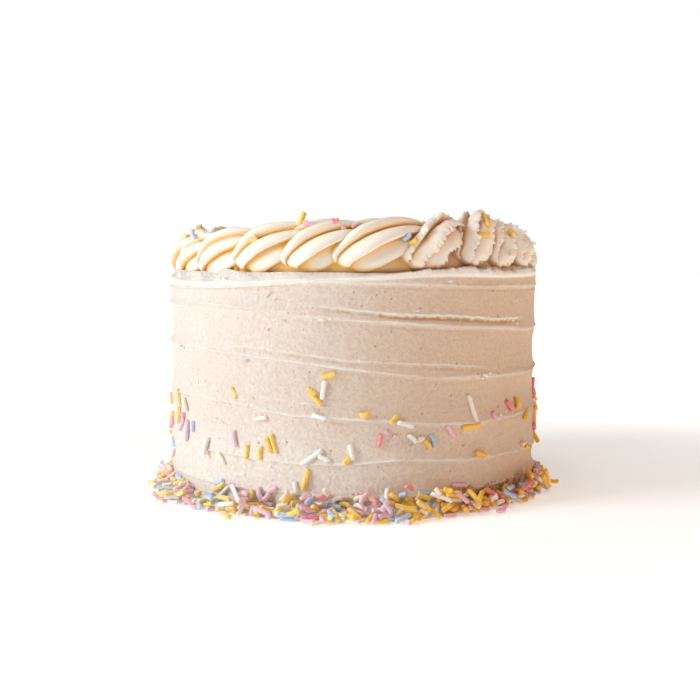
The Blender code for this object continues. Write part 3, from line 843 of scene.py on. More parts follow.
CRUMBS = (  # azimuth, height in mm, size in mm, how much longer than high
    (40.6, 53.6, 1.5, 1.5), (42.6, 54.3, 0.9, 1.2), (39.2, 52.9, 0.8, 1.6), (-63.5, 63.9, 1.1, 2.0),
    (-61.5, 62.9, 0.9, 1.4), (-8.5, 77.0, 1.1, 2.2), (-6.3, 77.3, 0.8, 1.4), (52.5, 75.9, 0.9, 1.5),
    (55.0, 74.7, 0.8, 1.6), (57.0, 73.4, 1.0, 1.3), (28.0, 91.4, 0.8, 2.4), (-38.0, 42.6, 0.7, 2.0),
    (-31.0, 42.2, 0.7, 1.3), (2.0, 61.4, 0.6, 1.8), (18.0, 80.2, 0.6, 2.0), (12.0, 76.0, 0.6, 1.6),
    (48.0, 36.6, 0.9, 1.4), (51.0, 37.2, 0.7, 1.2), (-42.5, 91.8, 1.5, 1.6), (-40.2, 92.2, 1.2, 1.2),
    (-44.2, 91.6, 1.0, 1.4), (-38.6, 91.6, 0.9, 1.3),
)
BACK_CRUMBS = 26
FOOT_CRUMBS = ((22, 76, 150), (200, 250, 60), (-8, 10, 8))  # from, to, how many


def torn_crumbs():
    """Where the torn lumps of icing stick to the lips of the scraper lines."""
    draw = random.Random(71)
    crumbs = list(CRUMBS)
    for n in range(BACK_CRUMBS):
        azimuth = between(84, 280, (n + draw.random()) / BACK_CRUMBS)
        line = SCRAPER_LINES[draw.randrange(5)]
        height = float(round_the_cake(line, azimuth)) + draw.uniform(-0.4, 1.4)
        crumbs.append((azimuth, height, draw.uniform(0.55, 1.2), draw.uniform(1.1, 2.2)))
    return crumbs


def foot_crumbs():
    """Where brown crumbs stick to the foot of the side, most of them at the right."""
    draw = random.Random(72)
    crumbs = []
    for low, high, count in FOOT_CRUMBS:
        for n in range(count):
            azimuth = between(low, high, 0.5 + 0.5 * draw.uniform(-1, 1) * draw.random() ** 0.4)
            size = between(0.35, 1.15, draw.random() ** 2)
            height = between(4.5, 10.2, draw.betavariate(2.2, 1.8))
            crumbs.append((azimuth, height, size, draw.uniform(0.9, 1.8)))
    return crumbs


def crumb_mesh(name, crumbs, groove):
    """Small lumps of icing or crumb pressed into the side."""
    side = surface_of("iced_cake_skin")
    points, faces = [], []
    for number, (azimuth, height, size, longer) in enumerate(crumbs):
        turn = math.radians(azimuth)
        spot, normal, _, _ = side.ray_cast(around(turn, 0.2, height * MM), around(turn, -1, 0))
        right = around(turn + TURN / 4, 1, 0)
        up = normal.cross(right) * -1
        first = len(points)
        for row in range(CRUMB_ROWS + 1):
            tilt = math.pi * row / CRUMB_ROWS
            for column in range(CRUMB_COLUMNS):
                a = TURN * column / CRUMB_COLUMNS
                way = Vector((math.sin(tilt) * math.cos(a), math.sin(tilt) * math.sin(a), math.cos(tilt)))
                rough = 1 + 0.55 * noise.noise(way * 1.6 + Vector((number * 7.1, 0, 0)))
                rough += 0.35 * noise.noise(way * 4.0 + Vector((number * 3.3, 5, 0)))
                place = right * way.x * longer + up * way.y * 0.9 + normal * way.z * 0.75
                points.append(tuple(spot / MM + place * size * rough * 0.7 + normal * 0.1))
                if row in (0, CRUMB_ROWS):
                    break
        top, rows = first, CRUMB_ROWS - 1
        last = first + 1 + rows * CRUMB_COLUMNS
        ring = [first + 1 + k * CRUMB_COLUMNS for k in range(rows)]
        for n in range(CRUMB_COLUMNS):
            after = (n + 1) % CRUMB_COLUMNS
            faces.append((top, ring[0] + n, ring[0] + after))
            faces.append((last, ring[-1] + after, ring[-1] + n))
        for upper, lower in zip(ring, ring[1:]):
            faces += ring_faces(upper, lower, CRUMB_COLUMNS)
    return mesh_object(name, points, faces, attributes={"groove": np.full(len(points), groove)})


class CAKE_OT_iced_drum(Operator):
    """Build the iced drum with its scraper lines"""

    bl_idname = "cake.iced_drum"
    bl_label = "Iced drum"

    def execute(self, context):
        icing = context.scene.cake_icing
        material = icing_material(icing)
        dress(drum_mesh(icing), material, "iced_cake")
        # painted highlight: the torn lumps take the pale lip colour; the foot crumbs take their own brown
        dress(crumb_mesh("icing_crumbs", torn_crumbs(), -0.35), material, "iced_cake")
        dress(crumb_mesh("foot_crumbs", foot_crumbs(), 0.62), material, "iced_cake")
        return {"FINISHED"}


# Piping

def ragged(degrees):
    """1 where the piping is torn and steep, 0 where it is smooth."""
    away = abs((degrees - RAGGED_MIDDLE + 180) % 360 - 180)
    return float(np.clip((RAGGED_HALF - away) / RAGGED_FADE, 0, 1))


def shell_heads():
    step = (FRONT_SHELLS[0] + 360 - FRONT_SHELLS[-1]) / (BACK_SHELLS + 1)
    back = [FRONT_SHELLS[-1] + step * (n + 1) for n in range(BACK_SHELLS)]
    return [*FRONT_SHELLS, *back, FRONT_SHELLS[0] + 360]


def along_line(rows, t):
    """Smooth values of a table with evenly spaced rows, at t from 0 to the last row's number."""
    rows = np.array(rows)
    padded = np.vstack([2 * rows[0] - rows[1], rows, 2 * rows[-1] - rows[-2]])
    n = np.clip(t.astype(int), 0, len(rows) - 2)
    f = (t - n)[:, None]
    a, b, c, d = (padded[n + k] for k in range(4))
    curve = 2 * b + (c - a) * f
    curve = curve + (2 * a - 5 * b + 4 * c - d) * f ** 2
    return 0.5 * (curve + (3 * b - a - 3 * c + d) * f ** 3)


def lobe_crest(place, top, rise, fall):
    """Height across a lobe from 0 in a groove to 1 on its crest."""
    up = np.sin(0.5 * np.pi * np.clip(place / top, 0, 1)) ** rise
    down = np.cos(0.5 * np.pi * np.clip((place - top) / (1 - top), 0, 1)) ** fall
    return np.where(place < top, up, down)


def frill(often, number, share, lobe):
    """Noise along each lobe of a torn shell: one value for a station and a lobe, spread over the columns."""
    values = [[noise.noise(Vector((s * often, k * 3.7, number * 5.3 + often))) for k in range(lobe.max() + 1)]
              for s in share]
    return np.array(values)[:, lobe]


def shell_points(number, piping, stations):
    """Points of one shell as stations by columns, and how deep in a groove each lies."""
    draw = random.Random(number)
    heads = shell_heads()
    head, spacing = heads[number], heads[number + 1] - heads[number]
    torn = ragged(head)
    size = 1 + draw.uniform(-0.04, 0.04)
    first_lobe = math.radians(8) + draw.uniform(-0.16, 0.16)
    rows = between(np.array(SMOOTH_LINE), np.array(TORN_LINE), torn)
    last = len(rows) - 1
    even = np.linspace(0, 1, stations)
    t = last * between(even, 0.5 - 0.5 * np.cos(np.pi * even), 0.45)
    line = along_line(rows, t)
    inner = along_line(rows[1:-1], np.clip(t - 1, 0, last - 2))[:, 3]
    head_end = np.sqrt(np.clip(1 - (1 - np.clip(t, 0, 1)) ** 2, 0, 1))
    tail_end = np.sqrt(np.clip(1 - np.clip(t - last + 1, 0, 1) ** 2, 0, 1))
    radius = np.maximum(inner * size * head_end * tail_end, 0.02)
    turns = np.radians(head + spacing * line[:, 0])
    ring = SHELL_RING + line[:, 1]
    sink = float(round_the_cake(SHELL_SINK, head))
    rise = line[:, 2] * size * float(round_the_cake(SHELL_TALLNESS, head))
    middles = np.stack([ring * np.sin(turns), -ring * np.cos(turns), PIPING_BASE - sink + rise], 1)
    forward = np.gradient(middles, axis=0)
    forward /= np.linalg.norm(forward, axis=1)[:, None]
    out = np.stack([np.sin(turns), -np.cos(turns), np.zeros(stations)], 1)
    out -= forward * np.sum(out * forward, 1)[:, None]
    out /= np.linalg.norm(out, axis=1)[:, None]
    over = np.cross(out, forward)
    lobes = piping.lobes
    columns = lobes * POINTS_IN_LOBE
    u = np.arange(columns) / POINTS_IN_LOBE
    place = u % 1.0
    crest = lobe_crest(place, CREST_PLACE, 1.05, 0.62)
    sharp = lobe_crest(place, TORN_CREST_PLACE, 1.6, 0.9)
    crest = between(crest, sharp, 0.8 * torn)
    twist = between(piping.smooth_twist, piping.torn_twist, torn)
    share = t / last
    lean = LOBE_LEAN * (1 + 0.35 * torn)
    angle = first_lobe + twist * share[:, None] - TURN * (u + lean * crest)[None, :] / lobes
    depth = piping.groove_depth * between(0.55, 1.15, ease(share / 0.45))[:, None]
    reach = 1 - depth * (1 - crest)[None, :]
    if torn > 0:
        lobe = np.floor(u).astype(int)
        jag, bite, crumb = (frill(often, number, share, lobe) for often in (11, 30, 80))
        edge = bump(place, TORN_CREST_PLACE, 0.17)[None, :]
        reach = reach + torn * edge * (0.14 * jag + 0.16 * bite + 0.13 * crumb)
        angle = angle - torn * edge * (0.14 * jag + 0.15 * bite + 0.10 * crumb)
    reach = reach * radius[:, None]
    points = middles[:, None, :] + out[:, None, :] * (np.cos(angle) * reach)[..., None]
    points = points + over[:, None, :] * (np.sin(angle) * reach)[..., None]
    # painted gold shade, deepest in the grooves between lobes
    groove = np.repeat(((1 - crest) ** 1.7)[None, :], stations, 0) * ease(share / 0.16)[:, None]
    return points, groove


def shell_ring(name, numbers, piping, stations):
    points, faces, groove = [], [], []
    for number in numbers:
        shell, deep = shell_points(number, piping, stations)
        count = shell.shape[1]
        first = sum(len(part) for part in points)
        points.append(shell.reshape(-1, 3))
        groove.append(deep.reshape(-1))
        for n in range(stations - 1):
            faces += ring_faces(first + n * count, first + (n + 1) * count, count)
        faces.append(tuple(first + n for n in range(count)))
        tail = first + (stations - 1) * count
        faces.append(tuple(tail + n for n in reversed(range(count))))
    points = np.concatenate(points)
    groove = np.concatenate(groove)
    shift = 0.16 * np.stack([noise_at(points, 3.5, seed) for seed in (21, 22, 23)], 1)
    points = points + shift
    points[:, 2] = np.maximum(points[:, 2], PIPING_BASE - 2.6)
    return mesh_object(name, points, faces, attributes={"groove": groove})


def shelter(mesh, around_it):
    """Share of the air close to each point that other icing fills, evened out over the mesh."""
    count = len(mesh.vertices)
    places, normals = np.zeros(count * 3), np.zeros(count * 3, np.float32)
    mesh.vertices.foreach_get("co", places)
    mesh.vertex_normals.foreach_get("vector", normals)
    places, normals = places.reshape(-1, 3), normals.reshape(-1, 3)
    heights = 1 - 2 * (np.arange(SHELTER_RAYS) + 0.5) / SHELTER_RAYS
    turns = GOLDEN_ANGLE * np.arange(SHELTER_RAYS)
    flat = np.sqrt(1 - heights ** 2)
    ways = np.stack([flat * np.cos(turns), flat * np.sin(turns), heights], 1)
    facing = np.clip(normals @ ways.T, 0, None)
    filled = np.zeros(count)
    starts = places + 0.15 * MM * normals
    for way, shares in zip(ways, facing.T):
        direction = Vector(way)
        for n in np.flatnonzero(shares > 0.2):
            distance = around_it.ray_cast(starts[n], direction, SHELTER_REACH)[3]
            if distance is not None:
                filled[n] += shares[n] * (1 - 0.5 * distance / SHELTER_REACH)
    filled /= np.where(facing > 0.2, facing, 0).sum(axis=1) + 1e-6
    edges = np.zeros(len(mesh.edges) * 2, np.int32)
    mesh.edges.foreach_get("vertices", edges)
    first, second = edges.reshape(-1, 2).T
    meets = np.bincount(edges, minlength=count) + 1
    for _ in range(SHELTER_ROUNDS):
        total = filled + np.bincount(first, filled[second], count) + np.bincount(second, filled[first], count)
        filled = total / meets
    return filled


def paint_gold_shade(pieces):
    """Paints gold shade on each point: most in the grooves and where the shells shelter each other."""
    around_it = surface_of("iced_cake_skin", *(piece.name for piece in pieces))
    for piece in pieces:
        layer = piece.data.attributes["groove"].data
        groove = np.zeros(len(layer), np.float32)
        layer.foreach_get("value", groove)
        hidden = shelter(piece.data, around_it)
        sheltered = ease((hidden - SHELTER_START) / SHELTER_SPAN) ** SHELTER_POWER
        gold_shade = np.clip(SHADE_IN_GROOVE * groove + SHADE_IN_SHELTER * sheltered, 0, 1)
        layer.foreach_set("value", gold_shade.astype(np.float32))


def piping_bed():
    """The rope of icing that shows between and under the shells, painted all over with gold shade."""
    points, faces = [], []
    for n in range(BED_COLUMNS):
        a = TURN * n / BED_COLUMNS
        for outward, up in BED_PROFILE:
            radius = BED_RADIUS + outward
            points.append((radius * math.sin(a), -radius * math.cos(a), PIPING_BASE + up))
    count = len(BED_PROFILE)
    for n in range(BED_COLUMNS):
        after = (n + 1) % BED_COLUMNS
        for k in range(count):
            k2 = (k + 1) % count
            faces.append((n * count + k, after * count + k, after * count + k2, n * count + k2))
    points = np.array(points)
    points += 0.5 * np.stack([noise_at(points, 5.0, seed) for seed in (31, 32, 33)], 1)
    points[:, 2] = np.maximum(points[:, 2], PIPING_BASE - 0.6)
    return mesh_object("piping_bed", points, faces, attributes={"groove": np.full(len(points), BED_PAINTED_SHADE)})


class CAKE_OT_piped_border(Operator):
    """Build the ring of piped shells and the icing under them"""

    bl_idname = "cake.piped_border"
    bl_label = "Piped border"

    def execute(self, context):
        piping = context.scene.cake_piping
        material = piping_material(piping)
        heads = shell_heads()[:-1]
        torn = [n for n, head in enumerate(heads) if ragged(head) > 0.05]
        smooth = [n for n in range(len(heads)) if n not in torn]
        pieces = [
            shell_ring("piped_shells_smooth", smooth, piping, SMOOTH_STATIONS),
            shell_ring("piped_shells_torn", torn, piping, TORN_STATIONS),
            piping_bed(),
        ]
        for piece in pieces:
            dress(piece, material, "piped_border")
        paint_gold_shade(pieces)
        return {"FINISHED"}


# Foot of the cake

def heap_edge(degrees):
    return round_the_cake(HEAP_EDGE, degrees)


def smear_height(degrees):
    """Height in millimetres of the icing and crumbs that the strands at the foot lie on."""
    return SMEAR_HEIGHT + swells(degrees, SMEAR_SWELLS)


def smear_width(degrees):
    return np.clip(heap_edge(degrees) - SMEAR_INNER - 4.0, 5.0, 10.0)


def foot_smear():
    """Icing and crumbs squeezed out round the foot, under the strands."""
    degrees = np.arange(SMEAR_COLUMNS) * 360 / SMEAR_COLUMNS
    turns = np.radians(degrees)
    tall, wide = smear_height(degrees), smear_width(degrees)
    points, faces = [], []
    for out, up in SMEAR_PROFILE:
        points += ring_points(turns, SMEAR_INNER + out * wide, tall * up)
    for k in range(len(SMEAR_PROFILE)):
        after = (k + 1) % len(SMEAR_PROFILE)
        faces += ring_faces(after * SMEAR_COLUMNS, k * SMEAR_COLUMNS, SMEAR_COLUMNS)
    points = np.array(points)
    rough = 0.9 * noise_at(points, 2.2, 41) + 0.6 * noise_at(points, 0.9, 42)
    points[:, 2] = np.maximum(0.0, points[:, 2] + rough * (points[:, 2] > 0.1) * ease(points[:, 2] / 2.5))
    crumbly = np.tile(window(degrees, *CRUMBLY_SMEAR), len(SMEAR_PROFILE))
    # own brown of the crumbs where crumbly; elsewhere the painted highlight colour, lifting the shade between
    # the strands
    groove = np.clip((0.55 + 0.7 * rough) * crumbly, 0, 1) - 0.4 * (1 - crumbly)
    return mesh_object("foot_smear", points, faces, attributes={"groove": groove})


class CAKE_OT_foot_smear(Operator):
    """Build the icing squeezed out at the foot"""

    bl_idname = "cake.foot_smear"
    bl_label = "Foot smear"

    def execute(self, context):
        dress(foot_smear(), bpy.data.materials["buttercream"], "foot_strands")
        return {"FINISHED"}


# Sugar strands

def surface_of(*names):
    points, faces = [], []
    for name in names:
        mesh = bpy.data.objects[name].data
        first = len(points)
        points += [v.co.copy() for v in mesh.vertices]
        faces += [[first + n for n in p.vertices] for p in mesh.polygons]
    return BVHTree.FromPolygons(points, faces)


CAMERA_PLACE = Vector((-0.0013, -0.550, 0.1065))
CAMERA_TILT = math.radians(5)
PIXELS = 700
FOCAL_PIXELS = 1229.0


def sight(x, y):
    """Direction in which the camera sees a pixel."""
    right, up = (x - PIXELS / 2) / FOCAL_PIXELS, (PIXELS / 2 - y) / FOCAL_PIXELS
    forward = Vector((0, math.cos(CAMERA_TILT), -math.sin(CAMERA_TILT)))
    above = Vector((0, math.sin(CAMERA_TILT), math.cos(CAMERA_TILT)))
    return (forward + Vector((right, 0, 0)) + above * up).normalized()


class StrandBox:
    """Collects where each strand lies, by colour."""

    def __init__(self, thickness):
        self.radius = thickness / 2
        self.draw = random.Random(51)
        self.by_colour = {colour: [] for colour, _ in STRAND_SHARES}

    def any_colour(self):
        pick = self.draw.random() * sum(share for _, share in STRAND_SHARES)
        for colour, share in STRAND_SHARES:
            pick -= share
            if pick <= 0:
                return colour
        return STRAND_SHARES[0][0]

    def length(self):
        return between(*STRAND_LENGTHS, self.draw.betavariate(2.0, 2.2)) * MM

    def lay(self, middle, along, length, colour=None, bend=None):
        """Adds one strand. bend is 0 for straight, 1 for bowed and 2 for bent."""
        kind = self.draw.choices((0, 1, 2), (0.62, 0.28, 0.10))[0] if bend is None else bend
        steep = abs(along.z)
        level = math.sqrt(max(0.0, 1 - steep * steep))
        lowest = middle.z - steep * length / 2 - ROOM_UNDER * self.radius * level
        if lowest < 0:
            middle = middle - Vector((0, 0, lowest))
        roll = self.draw.uniform(0, TURN)
        turned = along.to_track_quat("Z", "Y").to_matrix() @ Matrix.Rotation(roll, 3, "Z")
        colour = colour or self.any_colour()
        girth = self.draw.uniform(0.90, 1.10) * (YELLOW_GIRTH if colour == "yellow" else 1.0)
        self.by_colour[colour].append((middle, turned.to_euler(), length / (5 * MM), kind, girth))

    def press(self, surface, start, direction, along, length, colour=None, sink=PRESSED_IN):
        """Presses a strand into what a ray meets, if it meets anything."""
        spot, normal, _, _ = surface.ray_cast(start, direction)
        if spot is None:
            return
        flat = along - normal * along.dot(normal)
        if flat.length >= 0.2:
            self.lay(spot + normal * (self.radius - sink), flat.normalized(), length, colour)

    def drop(self, surface, azimuth, radius, sink=PRESSED_IN):
        """Presses a strand, turned at random, into what lies under a place."""
        yaw = self.draw.uniform(0, TURN)
        along = Vector((math.cos(yaw), math.sin(yaw), 0))
        down = Vector((0, 0, -1))
        self.press(surface, around(azimuth, radius, WELL_ABOVE), down, along, self.length(), sink=sink)

    def press_seen(self, surface, x0, y0, x1, y1, colour):
        """Presses a strand in between two pixels."""
        pixels = ((x0, y0), (x1, y1), ((x0 + x1) / 2, (y0 + y1) / 2))
        met = [surface.ray_cast(CAMERA_PLACE, sight(x, y)) for x, y in pixels]
        if any(spot[0] is None for spot in met):
            return
        (a, _, _, _), (b, _, _, _), (middle, normal, _, _) = met
        along = b - a
        along = along - normal * along.dot(normal)
        seen = math.hypot(x1 - x0, y1 - y0) * (middle - CAMERA_PLACE).length / FOCAL_PIXELS
        length = max(min(along.length, 1.35 * seen) + 0.4 * MM, 1.9 * MM)
        if along.length < 0.5 * MM:
            along = Vector((0, 0, 1)) - normal * normal.z
        self.lay(middle + normal * (self.radius - PRESSED_IN), along.normalized(), length, colour)

    def stand_seen(self, surface, x0, y0, x1, y1, colour):
        """Stands a strand up, stuck in at the first pixel, with its free end at the second."""
        foot = surface.ray_cast(CAMERA_PLACE, sight(x0, y0))[0]
        if foot is None:
            return
        top = CAMERA_PLACE + sight(x1, y1) * (foot - CAMERA_PLACE).length
        self.lay((foot + top) / 2, (top - foot).normalized(), (top - foot).length + 0.8 * MM, colour, bend=0)


class HeapFloor:
    """Height of the heap so far, over a grid of arc length by radius, that each new strand rests on."""

    def __init__(self, radius):
        self.radius = radius / MM
        cells = int(TURN * HEAP_MIDDLE / HEAP_CELL), int((HEAP_OUTER - HEAP_INNER) / HEAP_CELL)
        self.heights = np.zeros(cells)
        degrees = np.arange(self.heights.shape[0]) * 360 / self.heights.shape[0]
        radii = HEAP_INNER + HEAP_CELL * np.arange(self.heights.shape[1])
        share = (radii[None, :] - SMEAR_INNER) / smear_width(degrees)[:, None]
        profile = np.interp(share, *zip(*SMEAR_PROFILE[1:-1]), right=0.0)
        self.heights = np.maximum(self.heights, smear_height(degrees)[:, None] * profile)

    def cell(self, x, y):
        turn = (math.atan2(x, -y) % TURN) / TURN
        radius = math.hypot(x, y)
        i = int(turn * self.heights.shape[0]) % self.heights.shape[0]
        j = int((radius - HEAP_INNER) / HEAP_CELL)
        return i, max(0, min(self.heights.shape[1] - 1, j))

    def patch(self, x, y, reach):
        i, j = self.cell(x, y)
        rows = [(i + k) % self.heights.shape[0] for k in range(-reach, reach + 1)]
        return rows, max(0, j - reach), min(self.heights.shape[1], j + reach + 1)

    def rest(self, x, y, dx, dy, half):
        """Height of the middle, and slope, of a strand that comes to rest there."""
        shares = np.linspace(-1, 1, 9)
        under = []
        for s in shares:
            rows, low, high = self.patch(x + dx * half * s, y + dy * half * s, 1)
            under.append(float(self.heights[rows, low:high].max()))
        best, slope = under[4], 0.0
        for i in range(5):
            for j in range(4, 9):
                if i == j:
                    continue
                span = shares[j] - shares[i]
                level = under[i] - (under[j] - under[i]) / span * shares[i]
                if level > best + 1e-9:
                    best, slope = level, (under[j] - under[i]) / span / half
        if slope == 0.0:
            left, right = max(under[:4]), max(under[5:])
            slope = float(np.clip((right - left) / (2 * half), -0.5, 0.5)) * 0.5
            best = max(u - slope * half * s for u, s in zip(under, shares))
        return best + self.radius * math.sqrt(1 + slope * slope), slope

    def stamp(self, x, y, z, dx, dy, slope, half):
        for s in np.linspace(-1, 1, int(half * 2 / 0.3) + 2):
            px, py, pz = x + dx * half * s, y + dy * half * s, z + slope * half * s
            rows, low, high = self.patch(px, py, 2)
            for row in rows:
                turn = TURN * (row + 0.5) / self.heights.shape[0]
                for column in range(low, high):
                    radius = HEAP_INNER + (column + 0.5) * HEAP_CELL
                    away = math.hypot(radius * math.sin(turn) - px, -radius * math.cos(turn) - py)
                    if away < self.radius:
                        top = pz + math.sqrt(self.radius ** 2 - away ** 2)
                        if top > self.heights[row, column]:
                            self.heights[row, column] = top


def heap_strands(box, count):
    """Drops strands round the foot until the heap is full. Each lies on what is there already."""
    floor = HeapFloor(box.radius)
    draw = box.draw
    laid, tries = 0, 0
    while laid < count and tries < count * 6:
        tries += 1
        azimuth = GOLDEN_ANGLE * tries + draw.uniform(-0.05, 0.05)
        degrees = math.degrees(azimuth)
        edge = float(heap_edge(degrees))
        length = box.length() / MM
        yaw = draw.uniform(0, math.pi)
        outward, sideways = math.sin(yaw), math.cos(yaw)
        half = length / 2
        nearest = 80.7 + floor.radius + 0.85 * abs(outward) * half
        furthest = edge - 0.4 * abs(outward) * half
        if draw.random() < STRAYS:
            furthest += STRAY_REACH
        radius = between(nearest, max(furthest, nearest + 0.4), draw.random() ** 1.25)
        x, y = radius * math.sin(azimuth), -radius * math.cos(azimuth)
        dx = outward * math.sin(azimuth) + sideways * math.cos(azimuth)
        dy = -outward * math.cos(azimuth) + sideways * math.sin(azimuth)
        z, slope = floor.rest(x, y, dx, dy, half * 0.92)
        share = np.clip((radius - 81.5) / max(edge - 81.5, 1), 0, 1)
        lower = float(swells(degrees, HEAP_DIPS))
        ceiling = between(HEAP_TOP, HEAP_RIM, share ** 0.75) - lower * (1 - share)
        if z > ceiling or z + abs(slope) * half > ceiling + 1.6 or abs(slope) > HEAP_STEEPEST:
            continue
        floor.stamp(x, y, z, dx, dy, slope, half * 0.95)
        along = Vector((dx, dy, slope)).normalized()
        squeeze = 1 / math.sqrt(1 + slope * slope)
        box.lay(Vector((x, y, z)) * MM, along, length * (0.5 + 0.5 / squeeze) * MM)
        laid += 1
    for strand in FOOT_STRANDS:
        lay_on_heap(box, floor, *strand)


def lay_on_heap(box, floor, x0, y0, x1, y1, colour):
    """Rests a strand on the heap where the camera sees its ends between two pixels."""
    ends = []
    for px, py in ((x0, y0), (x1, y1)):
        way = sight(px, py)
        spot = CAMERA_PLACE + way * ((0.013 - CAMERA_PLACE.z) / way.z)
        while spot.z > 0 and math.hypot(spot.x, spot.y) > 0.0815:
            if spot.z / MM < floor.heights[floor.cell(spot.x / MM, spot.y / MM)]:
                break
            spot = spot + way * 0.0003
        ends.append(spot / MM)
    first, second = ends
    flat = Vector((second.x - first.x, second.y - first.y))
    length = max((second - first).length, 3.0)
    half = max(flat.length / 2, 0.8)
    way = flat.normalized() if flat.length > 0.01 else Vector((1, 0))
    x, y = (first.x + second.x) / 2, (first.y + second.y) / 2
    lowest = HEAP_INNER + 1.0 + floor.radius
    away = math.hypot(x, y)
    if away < lowest:
        x, y = x * lowest / away, y * lowest / away
    z, slope = floor.rest(x, y, way.x, way.y, half * 0.9)
    lift = (second.z - first.z) / (2 * half)
    if abs(lift) > abs(slope):
        slope = max(-2.2, min(2.2, lift))
    floor.stamp(x, y, z, way.x, way.y, slope, half)
    box.lay(Vector((x, y, z)) * MM, Vector((way.x, way.y, slope)).normalized(), (length + 0.4) * MM, colour)


STRAND_SHAPES = (("strand_a_straight", 0.0, 0.0), ("strand_b_bowed", 0.55, 0.0), ("strand_c_bent", 0.9, 0.35))
STRAND_RINGS = ((-0.5, 0.42), (-0.478, 0.78), (-0.43, 0.99), (-0.25, 1.0), (0.0, 0.97), (0.25, 1.0),
                (0.43, 0.99), (0.478, 0.78), (0.5, 0.42))
STRAND_SIDES = 8


def strand_shape(name, bow, kink):
    """One sugar strand 5 mm long and 1 mm in radius, which the tree scales to its thickness."""
    points, faces = [], []
    for z, radius in STRAND_RINGS:
        aside = bow * (0.25 - z * z) * 4 + kink * max(0.0, z) * 2
        for n in range(STRAND_SIDES):
            a = TURN * n / STRAND_SIDES
            points.append((radius * math.cos(a) + aside, radius * math.sin(a), z * 5))
    for n in range(len(STRAND_RINGS) - 1):
        faces += ring_faces((n + 1) * STRAND_SIDES, n * STRAND_SIDES, STRAND_SIDES)
    faces.append(tuple(reversed(range(STRAND_SIDES))))
    last = (len(STRAND_RINGS) - 1) * STRAND_SIDES
    faces.append(tuple(last + n for n in range(STRAND_SIDES)))
    return mesh_object(name, points, faces)


def strand_tree():
    """Geometry Nodes tree: puts a strand shape on each point, turned and stretched by its attributes."""
    tree = bpy.data.node_groups.new("sugar_strands", "GeometryNodeTree")
    tree.is_modifier = True
    for name, way, kind in (("Geometry", "INPUT", "Geometry"), ("Shapes", "INPUT", "Collection"),
                            ("Sugar", "INPUT", "Material"), ("Thickness", "INPUT", "Float"),
                            ("Geometry", "OUTPUT", "Geometry")):
        tree.interface.new_socket(name, in_out=way, socket_type=f"NodeSocket{kind}")
    given = add_node(tree, "NodeGroupInput").outputs
    read = {}
    for name, kind in (("turn", "FLOAT_VECTOR"), ("stretch", "FLOAT"), ("girth", "FLOAT"), ("kind", "INT")):
        node = add_node(tree, "GeometryNodeInputNamedAttribute", {"Name": name}, data_type=kind)
        read[name] = node.outputs["Attribute"]
    shapes = add_node(tree, "GeometryNodeCollectionInfo", {
        "Collection": given["Shapes"], "Separate Children": True, "Reset Children": True})
    turn = add_node(tree, "FunctionNodeEulerToRotation", {"Euler": read["turn"]})
    # metres of thickness to millimetres of radius
    half = add_node(tree, "ShaderNodeMath", {0: given["Thickness"], 1: PER_METRE / 2}, operation="MULTIPLY")
    girth = add_node(tree, "ShaderNodeMath", {0: half.outputs[0], 1: read["girth"]}, operation="MULTIPLY")
    scale = add_node(tree, "ShaderNodeCombineXYZ", {
        "X": girth.outputs[0], "Y": girth.outputs[0], "Z": read["stretch"]})
    place = add_node(tree, "GeometryNodeInstanceOnPoints", {
        "Points": given["Geometry"], "Instance": shapes.outputs["Instances"], "Pick Instance": True,
        "Instance Index": read["kind"], "Rotation": turn.outputs["Rotation"],
        "Scale": scale.outputs["Vector"]})
    real = add_node(tree, "GeometryNodeRealizeInstances", {"Geometry": place.outputs["Instances"]})
    paint = add_node(tree, "GeometryNodeSetMaterial", {
        "Geometry": real.outputs["Geometry"], "Material": given["Sugar"]})
    add_node(tree, "NodeGroupOutput", {"Geometry": paint.outputs["Geometry"]})
    return tree


def set_input(modifier, name, value):
    """Sets a tree's input by its socket's identifier."""
    for item in modifier.node_group.interface.items_tree:
        if item.item_type == "SOCKET" and item.in_out == "INPUT" and item.name == name:
            modifier[item.identifier] = value
            return
    raise RuntimeError(f"the tree has no input named {name}")


def strand_piece(colour, laid, tree, shapes, material, thickness):
    """One mesh of all the strands of a colour."""
    mesh = bpy.data.meshes.new(colour)
    middles, turns, stretches, kinds, girths = zip(*laid)
    mesh.from_pydata([tuple(middle) for middle in middles], [], [])
    columns = {
        "turn": ("FLOAT_VECTOR", "vector", [tuple(turn) for turn in turns]),
        "stretch": ("FLOAT", "value", stretches),
        "kind": ("INT", "value", kinds),
        "girth": ("FLOAT", "value", girths),
    }
    for key, (kind, field, values) in columns.items():
        layer = mesh.attributes.new(key, kind, "POINT")
        layer.data.foreach_set(field, np.array(values).reshape(-1))
    name = f"sugar_strands_{colour}"
    points = bpy.data.objects.new(name, mesh)
    bpy.context.scene.collection.objects.link(points)
    modifier = points.modifiers.new("strands", "NODES")
    modifier.node_group = tree
    set_input(modifier, "Shapes", shapes)
    set_input(modifier, "Sugar", material)
    set_input(modifier, "Thickness", thickness)
    shape = bpy.data.meshes.new_from_object(points.evaluated_get(bpy.context.evaluated_depsgraph_get()))
    points.modifiers.clear()
    for corner in shape.vertices:
        corner.co.z = max(corner.co.z, 0.0)
    points.data = shape
    return points


